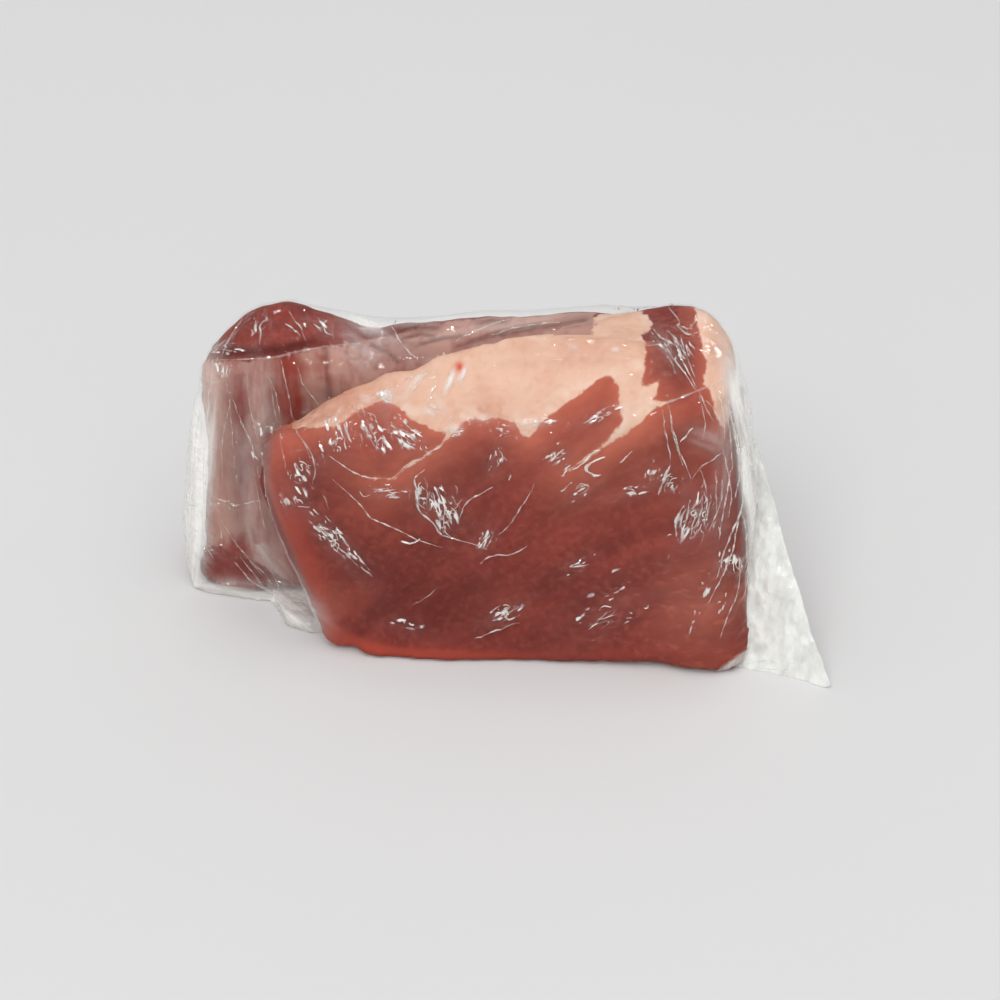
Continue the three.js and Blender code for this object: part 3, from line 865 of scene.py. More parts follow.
def lean_colour(m, place, tone, fibres, stipple):
    lean = m.mix(m.ramp(tone, 0.35, 0.9), LEAN_DARK, LEAN_MID)
    lean = m.mix(m.ramp(fibres, 0.48, 0.72, 0.0, 0.3), lean, LEAN_DEEP)
    lean = m.mix(m.ramp(stipple, 0.46, 0.7, 0.0, 0.13), lean, LEAN_PALE)
    specks = m.product(m.attribute("flecks"), m.ramp(m.noise(place, 330, 1.5), 0.55, 0.75, 0.0, 0.4))
    lean = m.mix(specks, lean, LEAN_PALE)
    # Painted shade: the shade field darkens the lean towards LEAN_DEEP
    lean = m.mix(m.product(m.attribute("shade"), 0.6), lean, LEAN_DEEP)
    lean = m.mix(m.attribute("vivid"), lean, LEAN_VIVID)
    lean = m.mix(m.attribute("dull"), lean, LEAN_DULL)
    pale_share = m.product(m.attribute("near_fat"), m.ramp(tone, 0.3, 1.0, 0.55, 1.0))
    return m.mix(pale_share, lean, LEAN_PALE)


def fat_colour(m, place, stipple):
    patches = m.ramp(m.noise(place, 45), 0.42, 0.75, 0.0, 0.45)
    pink = m.math("ADD", patches, m.product(m.attribute("tip"), 0.8))
    pink = m.math("ADD", pink, m.ramp(stipple, 0.45, 0.7, -0.06, 0.12))
    near_edge = m.ramp(m.attribute("fat"), 1.0, 9.0, 0.8, 0.15)
    cream = m.product(near_edge, m.ramp(m.noise(place, 95, 2), 0.42, 0.7))
    return m.mix(cream, m.mix(pink, FAT_PEACH, FAT_PINK), FAT_CREAM)


def skin_colour(m, place):
    """Colour of the membrane over the bone side: pale, grey or red."""
    skin = m.mix(m.attribute("pale"), MEMBRANE_GREY, MEMBRANE_PINK)
    streaks = m.noise(m.stretched(place, (1.0, 1.0, 0.16)), 230, 2)
    mottle = m.product_and(m.noise(place, 75, 2), 0.9, streaks)
    red_share = m.math("ADD", m.ramp(mottle, 0.65, 1.25, -0.3, 0.3), m.attribute("red"))
    return m.mix(m.ramp(red_share, 0.0, 1.0), skin, MEMBRANE_RED)


def meat_material():
    m = Material("raw_pork")
    place = m.attribute("place", "Vector")
    turned = m.stretched(place, (1.0, 1.0, 1.0), (0, FIBRE_TURN, 0))
    coarse = m.noise(m.stretched(turned, (0.5, 1.0, 1.5)), 42, 2)
    grain = m.stretched(turned, (0.7, 1.0, 2.4))
    fibres = m.noise(grain, 130, 1.5)
    tone = m.product_and(fibres, 0.25, coarse)
    stipple = m.noise(place, 300, 1)
    ragged = m.math("SUBTRACT", m.noise(place, 320, 1.5), 0.5)
    torn = m.math("SUBTRACT", m.noise(grain, 150, 2), 0.5)

    def uneven_edge(field, ragged_reach, torn_reach, low, high):
        edge = m.product_and(ragged, ragged_reach, m.attribute(field))
        return m.ramp(m.product_and(torn, torn_reach, edge), low, high)

    lean = lean_colour(m, place, tone, fibres, stipple)
    surface = m.mix(uneven_edge("fat", 2.4, 2.6, -0.5, 0.7), lean, fat_colour(m, place, stipple))
    surface = m.mix(m.attribute("blood"), surface, BLOOD_RED)
    surface = m.mix(uneven_edge("membrane", 3.0, 6.0, -0.8, 1.2), surface, skin_colour(m, place))
    # Dark field: painted shade and shadow, the rib ring and the dull band, towards LEAN_DEEP
    surface = m.mix(m.product(m.attribute("dark"), 0.85), surface, LEAN_DEEP)
    m.shade("Base Color", surface)
    m.shade("Roughness", m.ramp(coarse, 0.3, 0.7, 0.42, 0.58))
    m.shade("Specular IOR Level", 0.0)
    m.shade("Normal", m.bump(fibres, 0.35, 0.0012))
    return m.made


FILM_WHITE = (0.97, 0.955, 0.915, 1)
TAIL_WHITE = (0.93, 0.94, 0.90, 1)
# TAIL_SHADE: darker patches of the loose corner, painted shade that stands in for the shading and highlights
# of its crumples
TAIL_SHADE = (0.80, 0.812, 0.775, 1)
FILM_ROUGHNESS = 0.05
WET_MIRROR = 0.013
LOOSE_MIRROR = 0.045
# Relief of crumpled film, in millimetres for one unit of its patterns, and how far its shards are bent
CRUMPLE_FOLD = 3.2
CRUMPLE_SHARD = 1.6
CRUMPLE_RIPPLE = 1.2
SHARD_BEND = 0.006


def crumpled_normal(m):
    """Normal of crumpled film: folds, flat shards and small ripples, as strong as its crinkle field."""
    where = m.add("TexCoord", {}, "Object")
    folds = m.math("ABSOLUTE", m.math("SUBTRACT", m.noise(where, 85, 2), 0.5))
    bent = m.noise(where, 120, 2.0, 0.5, output="Color")
    moved = m.add("VectorMath", {0: bent, 1: (SHARD_BEND,) * 3, 2: where}, operation="MULTIPLY_ADD")
    shards = m.add("TexVoronoi", {"Vector": moved, "Scale": 150}, "Distance", feature="DISTANCE_TO_EDGE")
    height = m.product(folds, CRUMPLE_FOLD)
    height = m.product_and(shards, CRUMPLE_SHARD, height)
    height = m.product_and(m.noise(where, 330, 2), CRUMPLE_RIPPLE, height)
    return m.bump(m.product(height, m.attribute("crinkle")), 1.0, MM)


def crowd_share(m, grain, scale, low, high):
    """Where crumpled film has glints: the peaks of a noise, wider where its crumple field is strong."""
    return m.ramp(m.product_and(m.attribute("crumple"), 0.42, m.noise(grain, scale, 1.5)), low, high)


def shard_highlight_share(m, grain, scale, level):
    """Painted highlights: white share of the small flat shards of crumpled film, the peaks of a noise."""
    peaks = m.ramp(m.noise(grain, scale, 1.5), level, level + 0.05)
    return m.product(peaks, crowd_share(m, grain, scale / 3, 0.74, 0.86))


def wrinkle_highlight_share(m, grain, scale, width):
    """Painted highlights: white share of the fine bright wrinkles of crumpled film, partly milky creases, as
    broken contour lines of a noise.
    """
    away = m.math("ABSOLUTE", m.math("SUBTRACT", m.noise(grain, scale, 1.0, 0.5, 0.7), 0.5))
    return m.product(m.ramp(away, 0.0, width, 1.0, 0.0), crowd_share(m, grain, scale / 2, 0.80, 0.95))


def film_material(name, shade=None, white=FILM_WHITE):
    """Clear film: a mirror-like share that grows towards its outlines, and a milky share from its haze and
    its painted white glints.
    """
    m = Material(name)
    normal = crumpled_normal(m)
    grain = m.attribute("grain", "Vector")
    streaks = m.noise(m.stretched(grain, (0.35, 1.0, 1.0)), 210, 2)
    haze = m.product(m.attribute("haze"), m.ramp(streaks, 0.3, 0.7, 0.5, 1.45))
    # Painted highlights: white glints of wrinkles and shards, added to the milky share
    glints = m.math("MAXIMUM", wrinkle_highlight_share(m, grain, 310, 0.042), shard_highlight_share(m, grain, 560, 0.575))
    glints = m.product(glints, m.ramp(m.noise(grain, 400, 1), 0.35, 0.6, 0.45, 1.0))
    haze = m.math("MINIMUM", m.math("MAXIMUM", haze, glints), 0.95)
    straight = m.product_and(glints, 0.3, m.attribute("mirror"))
    rise = m.math("POWER", m.add("LayerWeight", {"Blend": 0.5, "Normal": normal}, "Facing"), 5.0)
    mirror = m.product_and(rise, m.math("SUBTRACT", 1.0, straight), straight)
    alpha = m.product_and(m.math("SUBTRACT", 1.0, mirror), haze, mirror)
    m.shade("Normal", normal)
    m.shade("Alpha", alpha)
    m.shade("Metallic", m.math("DIVIDE", mirror, alpha))
    m.shade("Roughness", FILM_ROUGHNESS)
    m.shade("Base Color", white)
    # Random patches between shade and white: painted shade on the loose corner
    if shade:
        patches = m.noise(m.stretched(grain, (1.0, 1.0, 0.9)), 420, 3)
        m.shade("Base Color", m.mix(m.ramp(patches, 0.36, 0.62), shade, white))
    return m.made


# Pieces

def rib_slab():
    slab = closed_loft("slab", close_rings(slab_rings(FILM_GAP, STEP / 2), 4))
    fold = closed_loft("fat_fold", fat_fold_rings(40))
    piece = fuse("rib_slab", [slab, fold], 4)
    points = read_points(piece)
    pixels = pixels_of(points)
    places = slab_places(points)
    s = places[:, 0]
    fat = fat_field(points, places)
    ripple = 0.3 * wave_noise(points, 14, 3) + 0.12 * wave_noise(points, 6, 4)
    groove = FAT_GROOVE * np.exp(-((fat + 0.5) / 1.2) ** 2)
    swell = EDGE_SWELL * np.exp(-(np.maximum(-fat, 0) / 8 - 1) ** 2) * (fat < 0)
    for *spot, start, end in MEAT_SWELLS:
        here = spots_field(pixels, [spot]) * smooth(start - SWELL_FADE, start, s)
        swell = swell + here * (1 - smooth(end, end + SWELL_FADE, s))
    points = points + read_normals(piece) * (ripple - groove + swell - MEAT_SINK)[:, None]
    points[:, 2] = np.maximum(points[:, 2], MEAT_FOOT)
    write_points(piece, points)
    meat_fields(piece, points, slab_places(points))
    piece.data.materials.append(meat_material())
    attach(piece, "root")
    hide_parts("film_pack")
    return piece


def bridge_rings(steps, across, levels):
    left = FRONT_END[0] - BRIDGE_OVERHANG
    share = np.linspace(0, 1, steps + 1)
    x = left + (BRIDGE_RIGHT - left) * share
    front = np.clip(front_distance(x), 0, FRONT_LEAF)
    back = back_distance(x)
    drop = BRIDGE_DROP + (BRIDGE_DROP_RIGHT - BRIDGE_DROP) * smooth(0.4, 0.75, share)
    front_top = height_at(INNER_HEIGHTS, front) - drop
    back_top = height_at(INNER_HEIGHTS, back) - drop
    front_y = fold_place(front)[0][:, 1] + BRIDGE_HOLD_FRONT
    back_y = fold_place(back)[0][:, 1] - BRIDGE_HOLD_BACK

    def place(t, z):
        splay = BRIDGE_SPLAY * (1 - t) * (1 - smooth(BRIDGE_SPLAY_HEIGHT / 3, BRIDGE_SPLAY_HEIGHT, z))
        out = (front_cut(z) * t - splay) * (1 - share)
        return np.stack([x + out, back_y + (front_y - back_y) * t, z], -1)

    points = []
    for t in np.linspace(0, 1, across + 1):
        points.append(place(t, back_top + (front_top - back_top) * t - BRIDGE_SAG * 4 * t * (1 - t)))
    for k in range(1, levels):
        points.append(place(1, front_top * (1 - k / levels)))
    for t in np.linspace(1, 0, across + 1):
        points.append(place(t, np.zeros_like(x)))
    for k in range(1, levels):
        points.append(place(0, back_top * (k / levels)))
    return np.stack(points, 1)


def web_rings():
    """Low hem of film on the surface, between the corner of the front leaf and the end of the back leaf."""
    corner, lobe_end = FRONT_END, BACK_END
    lobe_front = lobe_end[1] - INNER_HALF
    outline = np.array([
        (corner[0] + WEB_REACH, corner[1] - WEB_WIDTH), (corner[0] + 12, corner[1] - 6),
        (corner[0] + 2, corner[1] - 1), (corner[0] - 3, lobe_front - WEB_WIDTH),
        (corner[0] - 20, lobe_front - WEB_WIDTH * 0.8), (lobe_end[0] + 14, lobe_front - WEB_WIDTH / 2),
        (lobe_end[0] + 5, lobe_front), (lobe_end[0] + 3, lobe_front + WEB_WIDTH),
        (corner[0], lobe_front + WEB_WIDTH), (corner[0] + WEB_REACH, corner[1] + WEB_REACH),
    ])
    middle = outline.mean(0)
    rings = []
    for z, shrink in ((0, 0), (1.5, -0.01), (3.5, 0.01), (WEB_HEIGHT, 0.06)):
        ring = middle + (outline - middle) * (1 - shrink)
        rings.append(np.column_stack([ring, np.full(len(ring), z)]))
    return np.array(rings)[::-1]


def apply_modifiers(piece):
    """Replaces the piece's mesh by what its modifiers make of it."""
    graph = bpy.context.evaluated_depsgraph_get()
    mesh = bpy.data.meshes.new_from_object(piece.evaluated_get(graph))
    piece.modifiers.clear()
    piece.data = mesh
    piece.data.shade_smooth()


def gather(pieces):
    """Points, in metres, and faces of several pieces, one after the other."""
    points = []
    faces = []
    for piece in pieces:
        faces += shifted([face.vertices for face in piece.data.polygons], len(points))
        points += [v.co.copy() for v in piece.data.vertices]
    return points, faces


def join_pieces(name, pieces):
    points, faces = gather(pieces)
    for piece in pieces:
        bpy.data.objects.remove(piece)
    return make_mesh(name, [tuple(point / MM) for point in points], faces)


def fuse(name, pieces, relaxing):
    """Joins closed pieces into one closed skin of even squares."""
    piece = join_pieces(name, pieces)
    remesh = piece.modifiers.new("fuse", "REMESH")
    remesh.mode = "VOXEL"
    remesh.voxel_size = VOXEL * MM
    relax = piece.modifiers.new("relax", "SMOOTH")
    relax.factor = 0.5
    relax.iterations = relaxing
    apply_modifiers(piece)
    return piece


def surface_tree(*pieces):
    return BVHTree.FromPolygons(*gather(pieces))


def keep_outside(points, tree, least, tight=None):
    """Moves points clear of a surface, or closer to it by their tight share, and gives their clearance."""
    clearance = np.empty(len(points))
    moved = points.copy()
    for i, point in enumerate(points):
        hit, normal, _, _ = tree.find_nearest(Vector(point * MM))
        hit, normal = np.array(hit) / MM, np.array(normal)
        clearance[i] = (point - hit) @ normal
        if clearance[i] < least:
            moved[i] = hit + normal * least
        elif tight is not None and tight[i] > 0:
            clearance[i] += (least - clearance[i]) * tight[i]
            moved[i] = hit + normal * clearance[i]
    return moved, clearance


# Milky places of the film, and painted highlights on the fat as milky white spots, in pixels: middle, reach
# along and across, turn in degrees, strength
HAZE_AND_HIGHLIGHT_SPOTS = (
    (196, 490, 100, 10, 93, 0.85), (210, 450, 60, 6, 95, 0.25), (296, 612, 22, 12, 40, 0.8),
    (232, 597, 36, 10, 5, 0.85), (722, 425, 22, 6, 100, 0.12), (706, 439, 16, 8, 20, 0.16),
    (740, 420, 60, 8, 77, 0.5), (750, 500, 120, 6, 85, 0.7), (757, 480, 60, 9, 80, 0.8),
    (728, 470, 50, 9, 95, 0.12), (258, 402, 30, 9, 85, 0.2), (252, 500, 60, 12, 80, 0.14),
    (225, 470, 90, 10, 88, 0.03), (272, 560, 30, 9, 50, 0.2), (360, 322, 18, 5, 25, 0.3),
    (385, 338, 34, 10, 38, 0.07), (352, 345, 26, 12, 40, 0.1), (430, 319, 40, 4, 172, 0.2),
    (520, 315, 60, 5, 173, 0.12), (600, 308, 50, 4, 173, 0.15), (400, 385, 22, 8, 120, 0.1),
    (276, 500, 60, 7, 70, 0.03), (664, 345, 24, 9, 50, 0.08), (432, 336, 45, 3, 172, 0.06),
    (520, 326, 55, 3, 173, 0.1), (425, 346, 46, 12, 165, 0.04), (495, 330, 52, 9, 170, 0.05),
    # From here on, painted highlights on the fat, as milky white spots
    (386, 394, 7, 4, 60, 0.6), (419, 378, 12, 2.5, 125, 0.7), (450, 381, 9, 2.2, 112, 0.8),
    (463, 374, 7, 2, 110, 0.7), (440, 402, 12, 3, 60, 0.2), (430, 412, 6, 3, 30, 0.45),
    (482, 418, 10, 3, 0, 0.2), (454, 429, 6, 5, 0, 0.35), (530, 422, 12, 3.5, 0, 0.3),
    (572, 346, 5, 3, 30, 0.3), (615, 349, 3, 3, 0, 0.5), (366, 398, 5, 3, 20, 0.35),
)
# White patch where the film folds over the meat's right foot
WHITE_PATCH = ((722, 668), (752, 646), (760, 660), (758, 680), (716, 674))
# Places where the film lies close: top of the bend and the dome of the back leaf
TIGHT_SPOTS = ((700, 330, 55, 50, 1.0), (270, 325, 66, 30, 1.0), (212, 370, 20, 40, 1.0))
LOBE_FILM_OUT = 3
FILM_SAG = 4
FILM_SAG_SPOT = (370, 40)
CALM_CLEARANCE = 0.8
CREASED_CLEARANCE = 0.7
LEAF_END_CLEARANCE = 0.5
# Crumpled places of the film: middle, reach along and across, turn in degrees, how many small folds. They
# also set where the film's painted white glints gather.
CRUMPLED_SPOTS = (
    (336, 541, 34, 8, 47, 46), (373, 429, 20, 12, 60, 26), (408, 434, 18, 10, 35, 30),
    (388, 491, 14, 5, 5, 14), (419, 493, 15, 6, 80, 26), (444, 510, 16, 12, 70, 28),
    (496, 461, 12, 7, 110, 12), (485, 538, 9, 7, 120, 14), (336, 441, 18, 13, 75, 22),
    (505, 613, 16, 6, 155, 14), (407, 625, 18, 4, 10, 6), (664, 480, 9, 15, 115, 18),
    (697, 522, 20, 15, 112, 28), (733, 563, 8, 12, 100, 14), (600, 416, 18, 5, 155, 14),
    (581, 491, 14, 6, 150, 9), (628, 494, 16, 4, 165, 8), (576, 567, 12, 5, 155, 10),
    (305, 470, 7, 15, 70, 14), (294, 497, 9, 13, 55, 14), (222, 372, 8, 10, 90, 8),
    (260, 460, 12, 20, 60, 8), (385, 395, 8, 5, 30, 5), (676, 345, 14, 22, 60, 10),
    (605, 612, 40, 16, 155, 12), (707, 600, 26, 30, 110, 10), (560, 455, 10, 8, 140, 6),
    (262, 328, 8, 10, 95, 5), (300, 325, 9, 12, 60, 5), (226, 350, 14, 4, 0, 4),
    (322, 325, 8, 7, 40, 3), (262, 430, 10, 26, 80, 4), (214, 548, 8, 9, 30, 6),
    (234, 505, 20, 5, 5, 4), (700, 500, 20, 12, 100, 8), (455, 430, 6, 5, 0, 6),
    (532, 423, 14, 4, 0, 8), (505, 430, 20, 6, 10, 8), (438, 411, 8, 4, 30, 5),
)
# Long folds of the film: width and height in millimetres, then their route in pixels
LONG_FOLDS = (
    (1.5, 0.5, ((329, 456), (343, 466), (359, 475), (370, 479), (382, 480))),
    (1.4, 0.5, PALE_SEAM[:7]),
    (1.3, 0.5, ((332, 479), (343, 489), (352, 498), (362, 508), (370, 518), (380, 523), (393, 528),
                (407, 535), (423, 541), (443, 548))),
    (2.4, 0.9, ((401, 541), (411, 543), (420, 541))),
    (1.7, 0.6, ((425, 469), (418, 475), (414, 480), (416, 493), (416, 505), (421, 514), (432, 523),
                (441, 534), (454, 539), (471, 543), (486, 549))),
    (1.4, 0.5, ((493, 487), (482, 493), (471, 499), (464, 507), (459, 518))),
    (1.2, 0.4, ((462, 500), (459, 509), (448, 514))),
    (1.1, 0.4, ((534, 484), (525, 502), (516, 514), (509, 525), (496, 539))),
    (1.3, 0.5, ((480, 564), (487, 559), (496, 555), (512, 554), (527, 546))),
    (0.8, 0.25, ((414, 604), (439, 587))),
    (1.2, 0.4, ((491, 621), (518, 607))),
    (1.2, 0.4, ((475, 639), (496, 631), (518, 623))),
    (1.2, 0.4, ((296, 431), (300, 436), (307, 446), (313, 459), (316, 471), (314, 486))),
    (1.0, 0.35, ((324, 496), (332, 509))),
    (2.6, 0.9, ((605, 457), (595, 461), (588, 468), (595, 474), (603, 473))),
    (1.8, 0.7, ((573, 470), (582, 463), (592, 454), (601, 450))),
    (1.9, 0.7, ((551, 461), (557, 455), (564, 448))),
    (1.6, 0.6, ((619, 463), (631, 453))),
    (1.3, 0.5, ((560, 492), (573, 484))),
    (2.2, 0.9, ((658, 494), (666, 479), (671, 467))),
    (2.0, 0.8, ((677, 537), (678, 522), (684, 507))),
    (1.4, 0.5, ((668, 405), (671, 418), (673, 433), (677, 446), (684, 463), (692, 480))),
    (1.2, 0.5, ((662, 409), (666, 428), (669, 446), (671, 465))),
    (1.1, 0.4, ((692, 478), (706, 463), (723, 453))),
    (1.5, 0.5, ((681, 441), (693, 430))),
    (1.0, 0.4, ((706, 400), (716, 415), (723, 428))),
    (1.3, 0.5, ((729, 400), (736, 437), (741, 474), (741, 493))),
    (1.2, 0.5, ((735, 395), (742, 446), (746, 489), (747, 530))),
    (1.1, 0.4, ((723, 448), (730, 492), (725, 518))),
    (1.1, 0.4, ((715, 470), (716, 492), (717, 518))),
    (1.5, 0.6, ((744, 498), (736, 530), (732, 554), (718, 585), (706, 609))),
    (1.4, 0.5, ((742, 511), (745, 539), (746, 585))),
    (1.3, 0.5, ((289, 311), (296, 321), (302, 326), (306, 338))),
    (1.2, 0.4, ((327, 319), (320, 328))),
    (1.4, 0.5, ((267, 319), (261, 325), (261, 333), (262, 343))),
    (1.0, 0.4, ((242, 318), (226, 342), (222, 353))),
    (1.2, 0.45, ((229, 391), (239, 419), (247, 437), (254, 458))),
    (1.1, 0.4, ((260, 367), (275, 388), (282, 409), (285, 429))),
    (1.2, 0.45, ((281, 360), (287, 388), (292, 416), (295, 429), (303, 444), (310, 460))),
    (1.0, 0.4, ((298, 369), (303, 388), (320, 408))),
    (0.9, 0.3, ((247, 372), (252, 410), (262, 450))),
    (0.9, 0.3, ((270, 385), (276, 430), (283, 470))),
    (0.9, 0.3, ((226, 375), (232, 430), (236, 480))),
    (0.9, 0.3, ((252, 470), (262, 510), (272, 548))),
    (1.0, 0.4, ((222, 520), (240, 548), (262, 575))),
    (1.0, 0.4, ((262, 556), (276, 580), (288, 600))),
    (1.0, 0.4, ((240, 556), (256, 577), (276, 598))),
    (0.9, 0.3, ((213, 372), (210, 420), (211, 470))),
    (0.8, 0.3, ((232, 391), (222, 440), (220, 500))),
    (0.9, 0.3, ((670, 410), (674, 440), (684, 470))),
    (0.9, 0.3, ((700, 395), (706, 420), (703, 440))),
    (1.4, 0.5, ((690, 500), (688, 518), (683, 538))),
    (1.3, 0.5, ((703, 495), (700, 515), (695, 535))),
    (1.2, 0.5, ((711, 494), (709, 512), (704, 530))),
    (1.0, 0.4, ((726, 405), (731, 440), (733, 470))),
    (1.1, 0.4, ((739, 375), (743, 420), (747, 470))),
    (1.0, 0.4, ((716, 385), (724, 410), (728, 440))),
    (0.9, 0.3, ((655, 335), (668, 352), (676, 375))),
    (1.1, 0.4, ((217, 499), (228, 503), (236, 507), (246, 506), (259, 503))),
    (1.2, 0.4, ((235, 562), (252, 580), (273, 592))),
    (1.0, 0.4, ((249, 562), (262, 571), (273, 588))),
    (1.5, 0.6, ((669, 307), (679, 320), (677, 325), (687, 333), (699, 330))),
    (1.3, 0.5, ((697, 316), (691, 326), (679, 325))),
    (1.4, 0.6, ((653, 328), (661, 338), (676, 346), (684, 363), (697, 388))),
    (1.3, 0.5, ((646, 345), (664, 345), (674, 356), (694, 383), (699, 389))),
    (1.1, 0.4, ((666, 330), (676, 338), (686, 353), (696, 378))),
    (1.2, 0.5, ((699, 389), (706, 406), (714, 426))),
    # These four folds on the fat are painted highlights: their milky ridges stand for glints
    (1.6, 0.6, ((414, 389), (417, 380), (426, 370))),
    (1.3, 0.5, ((426, 404), (437, 383), (442, 373))),
    (1.6, 0.6, ((447, 384), (449, 373))),
    (1.5, 0.6, ((457, 381), (465, 371))),
    (1.3, 0.5, ((391, 326), (403, 344), (418, 361))),
    (1.4, 0.5, ((456, 342), (479, 330), (510, 322))),
    (1.2, 0.4, ((491, 334), (523, 326), (562, 321))),
    (1.2, 0.5, ((190, 545), (192, 500), (196, 440), (203, 385))),
    (1.2, 0.5, ((205, 560), (203, 520), (206, 470), (211, 400))),
    (1.1, 0.4, ((744, 664), (770, 659), (794, 662))),
    (1.1, 0.4, ((748, 669), (790, 670))),
    (1.3, 0.5, ((735, 395), (744, 425), (752, 462), (760, 505))),
    (1.2, 0.5, ((742, 560), (738, 590), (727, 620), (720, 640))),
    (1.4, 0.5, ((746, 470), (741, 510), (727, 545), (716, 580))),
    (1.2, 0.5, ((735, 430), (739, 470), (733, 500))),
    (1.2, 0.5, ((700, 470), (706, 500), (703, 530))),
    (1.2, 0.5, ((722, 480), (722, 505), (712, 530))),
    (1.4, 0.6, ((731, 470), (727, 500), (719, 532))),
)
HEM_RIGHT = ((640, 405), (666, 402), (700, 389), (725, 379), (748, 369))
LONG_FOLD_WIDTH = 0.7
LONG_FOLD_HEIGHT = 0.8
HEM_WIDTH = 1.3
HEM_HEIGHT = 0.45
HEM_BACK_HEIGHT = 116
SMALL_FOLD = 11
SMALL_FOLD_CROWD = 0.35
GRAIN_SQUEEZE = 0.33
GRAIN_APART = 40
LEAST_HAZE = 0.002
LOOSE_HAZE = 0.02
VALLEY_HAZE = 0.05
PATCH_HAZE = 0.7
MOST_HAZE = 0.8
TAIL_GRAIN = np.array([0.5, 0.5, 0.2])
FOLD_STEP = 0.8
BACK_FOLDS = 55


def turned_spot(pixels, x, y, along, across, turn):
    """Strength of a turned oval spot, and the places of the pixels in its own directions."""
    angle = math.radians(turn)
    away = pixels - np.array([x, y])
    first = away @ np.array([math.cos(angle), math.sin(angle)])
    second = away @ np.array([-math.sin(angle), math.cos(angle)])
    return np.exp(-((first / along) ** 2 + (second / across) ** 2) / 1.5), np.stack([first, second], -1)


def film_spots():
    """Spots of the film: place, reach along and across, turn, how milky and how crumpled it is there. Some
    milky spots are painted highlights.
    """
    spots = [(*spot, 0) for spot in HAZE_AND_HIGHLIGHT_SPOTS]
    for x, y, along, across, turn, count in CRUMPLED_SPOTS:
        crowd = min(1.1, 0.55 + 4 * count / (along * across))
        spots.append((x, y, 1.3 * along, 1.3 * across, turn, 0, crowd))
    return spots


def film_fields(points, normals, clearance):
    """Haze, crinkle, mirror share, crumple and grain of the film at its points."""
    pixels = pixels_of(points)
    seen = smooth(0.0, 0.25, normals @ BACKWARD)
    loose = smooth(2.5, 8, clearance)
    valley = smooth(330, 380, pixels[:, 0])
    haze = LEAST_HAZE + LOOSE_HAZE * loose + VALLEY_HAZE * loose * valley * smooth(0.35, 0.8, normals[:, 2])
    streaks = 1 + 0.7 * wave_noise(points, 13, 41, (1, 1, 3)) + 0.4 * wave_noise(points, 5, 42, (1, 1, 2.5))
    haze = haze * np.clip(streaks, 0.2, 1.8)
    hidden = (1 - seen) * smooth(0.1, 0.9, wave_noise(points, 45, 43))
    crumple = 0.5 * hidden
    strongest = np.maximum(hidden, 0.02)
    s, x, z = slab_places(points).T
    grain = np.stack([GRAIN_SQUEEZE * z, s, x], -1)
    for k, (*spot, milky, crumpled) in enumerate(film_spots()):
        strength, away = turned_spot(pixels, *spot)
        strength = strength * seen
        # Milky spots add haze, and those on the fat add painted highlights
        haze = haze + (milky + 0.025 * crumpled) * strength
        crumple = np.maximum(crumple, crumpled * strength)
        nearest = strength > strongest
        strongest = np.maximum(strongest, strength)
        own = np.stack([GRAIN_SQUEEZE * away[:, 0], away[:, 1], np.full(len(away), GRAIN_APART * k)], -1)
        grain = np.where(nearest[:, None], own * PIXEL_SIZE, grain)
    patch = smooth(-0.8, 0.8, inside_outline(pixels, WHITE_PATCH) * PIXEL_SIZE) * seen
    haze = np.maximum(haze, PATCH_HAZE * patch)
    crinkle = 0.09 + 0.5 * loose + 0.9 * crumple
    mirror = WET_MIRROR + (LOOSE_MIRROR - WET_MIRROR) * loose
    return np.clip(haze, 0, MOST_HAZE), np.clip(crinkle, 0, 1), mirror, crumple, grain


def write_film_fields(piece, haze, crinkle, mirror, crumple, grain):
    write_fields(piece, haze=haze, crinkle=crinkle, mirror=mirror, crumple=crumple)
    write_place(piece, "grain", grain)


def relax_points(piece, points, rounds):
    """Evens out a piece's points among their neighbours, keeping its volume."""
    edges = np.empty(len(piece.data.edges) * 2, np.int32)
    piece.data.edges.foreach_get("vertices", edges)
    first, second = edges.reshape(-1, 2).T
    degree = np.bincount(np.concatenate([first, second]), minlength=len(points))[:, None]
    for k in range(rounds):
        total = np.zeros_like(points)
        np.add.at(total, first, points[second])
        np.add.at(total, second, points[first])
        weight = 0.6 if k % 2 == 0 else -0.62
        points = points + weight * (total / degree - points)
    return points


def calm_film(piece, tree):
    """Points of the film drawn over the meat, before it is creased, and their clearance from the meat."""
    points = relax_points(piece, read_points(piece), 12)
    pixels = pixels_of(points)
    high = smooth(95, 110, points[:, 2])
    points[:, 2] -= FILM_SAG * high * np.exp(-((pixels[:, 0] - FILM_SAG_SPOT[0]) / FILM_SAG_SPOT[1]) ** 2)
    lobe = smooth(FOLD_LENGTH - 25, FOLD_LENGTH - 8, fold_distance(points)[0]) * (1 - high)
    points[:, 0] -= LOBE_FILM_OUT * lobe
    tight = np.clip(spots_field(pixels_of(points), TIGHT_SPOTS) * high, 0, 1)
    return keep_outside(points, tree, CALM_CLEARANCE, tight)


def creased(points, normals, clearance):
    """Points of the film raised and sunk by its folds and creases, where its crinkle field is strong."""
    crinkle = film_fields(points, normals, clearance)[1]
    folds = 1.3 * (0.45 - np.abs(wave_noise(points, 30, 21, (1, 1, 2.2))))
    creases = 0.8 * (0.4 - np.abs(wave_noise(points, 9, 22, (1, 1, 1.8))))
    return points + normals * (crinkle * (0.6 + folds + creases))[:, None]


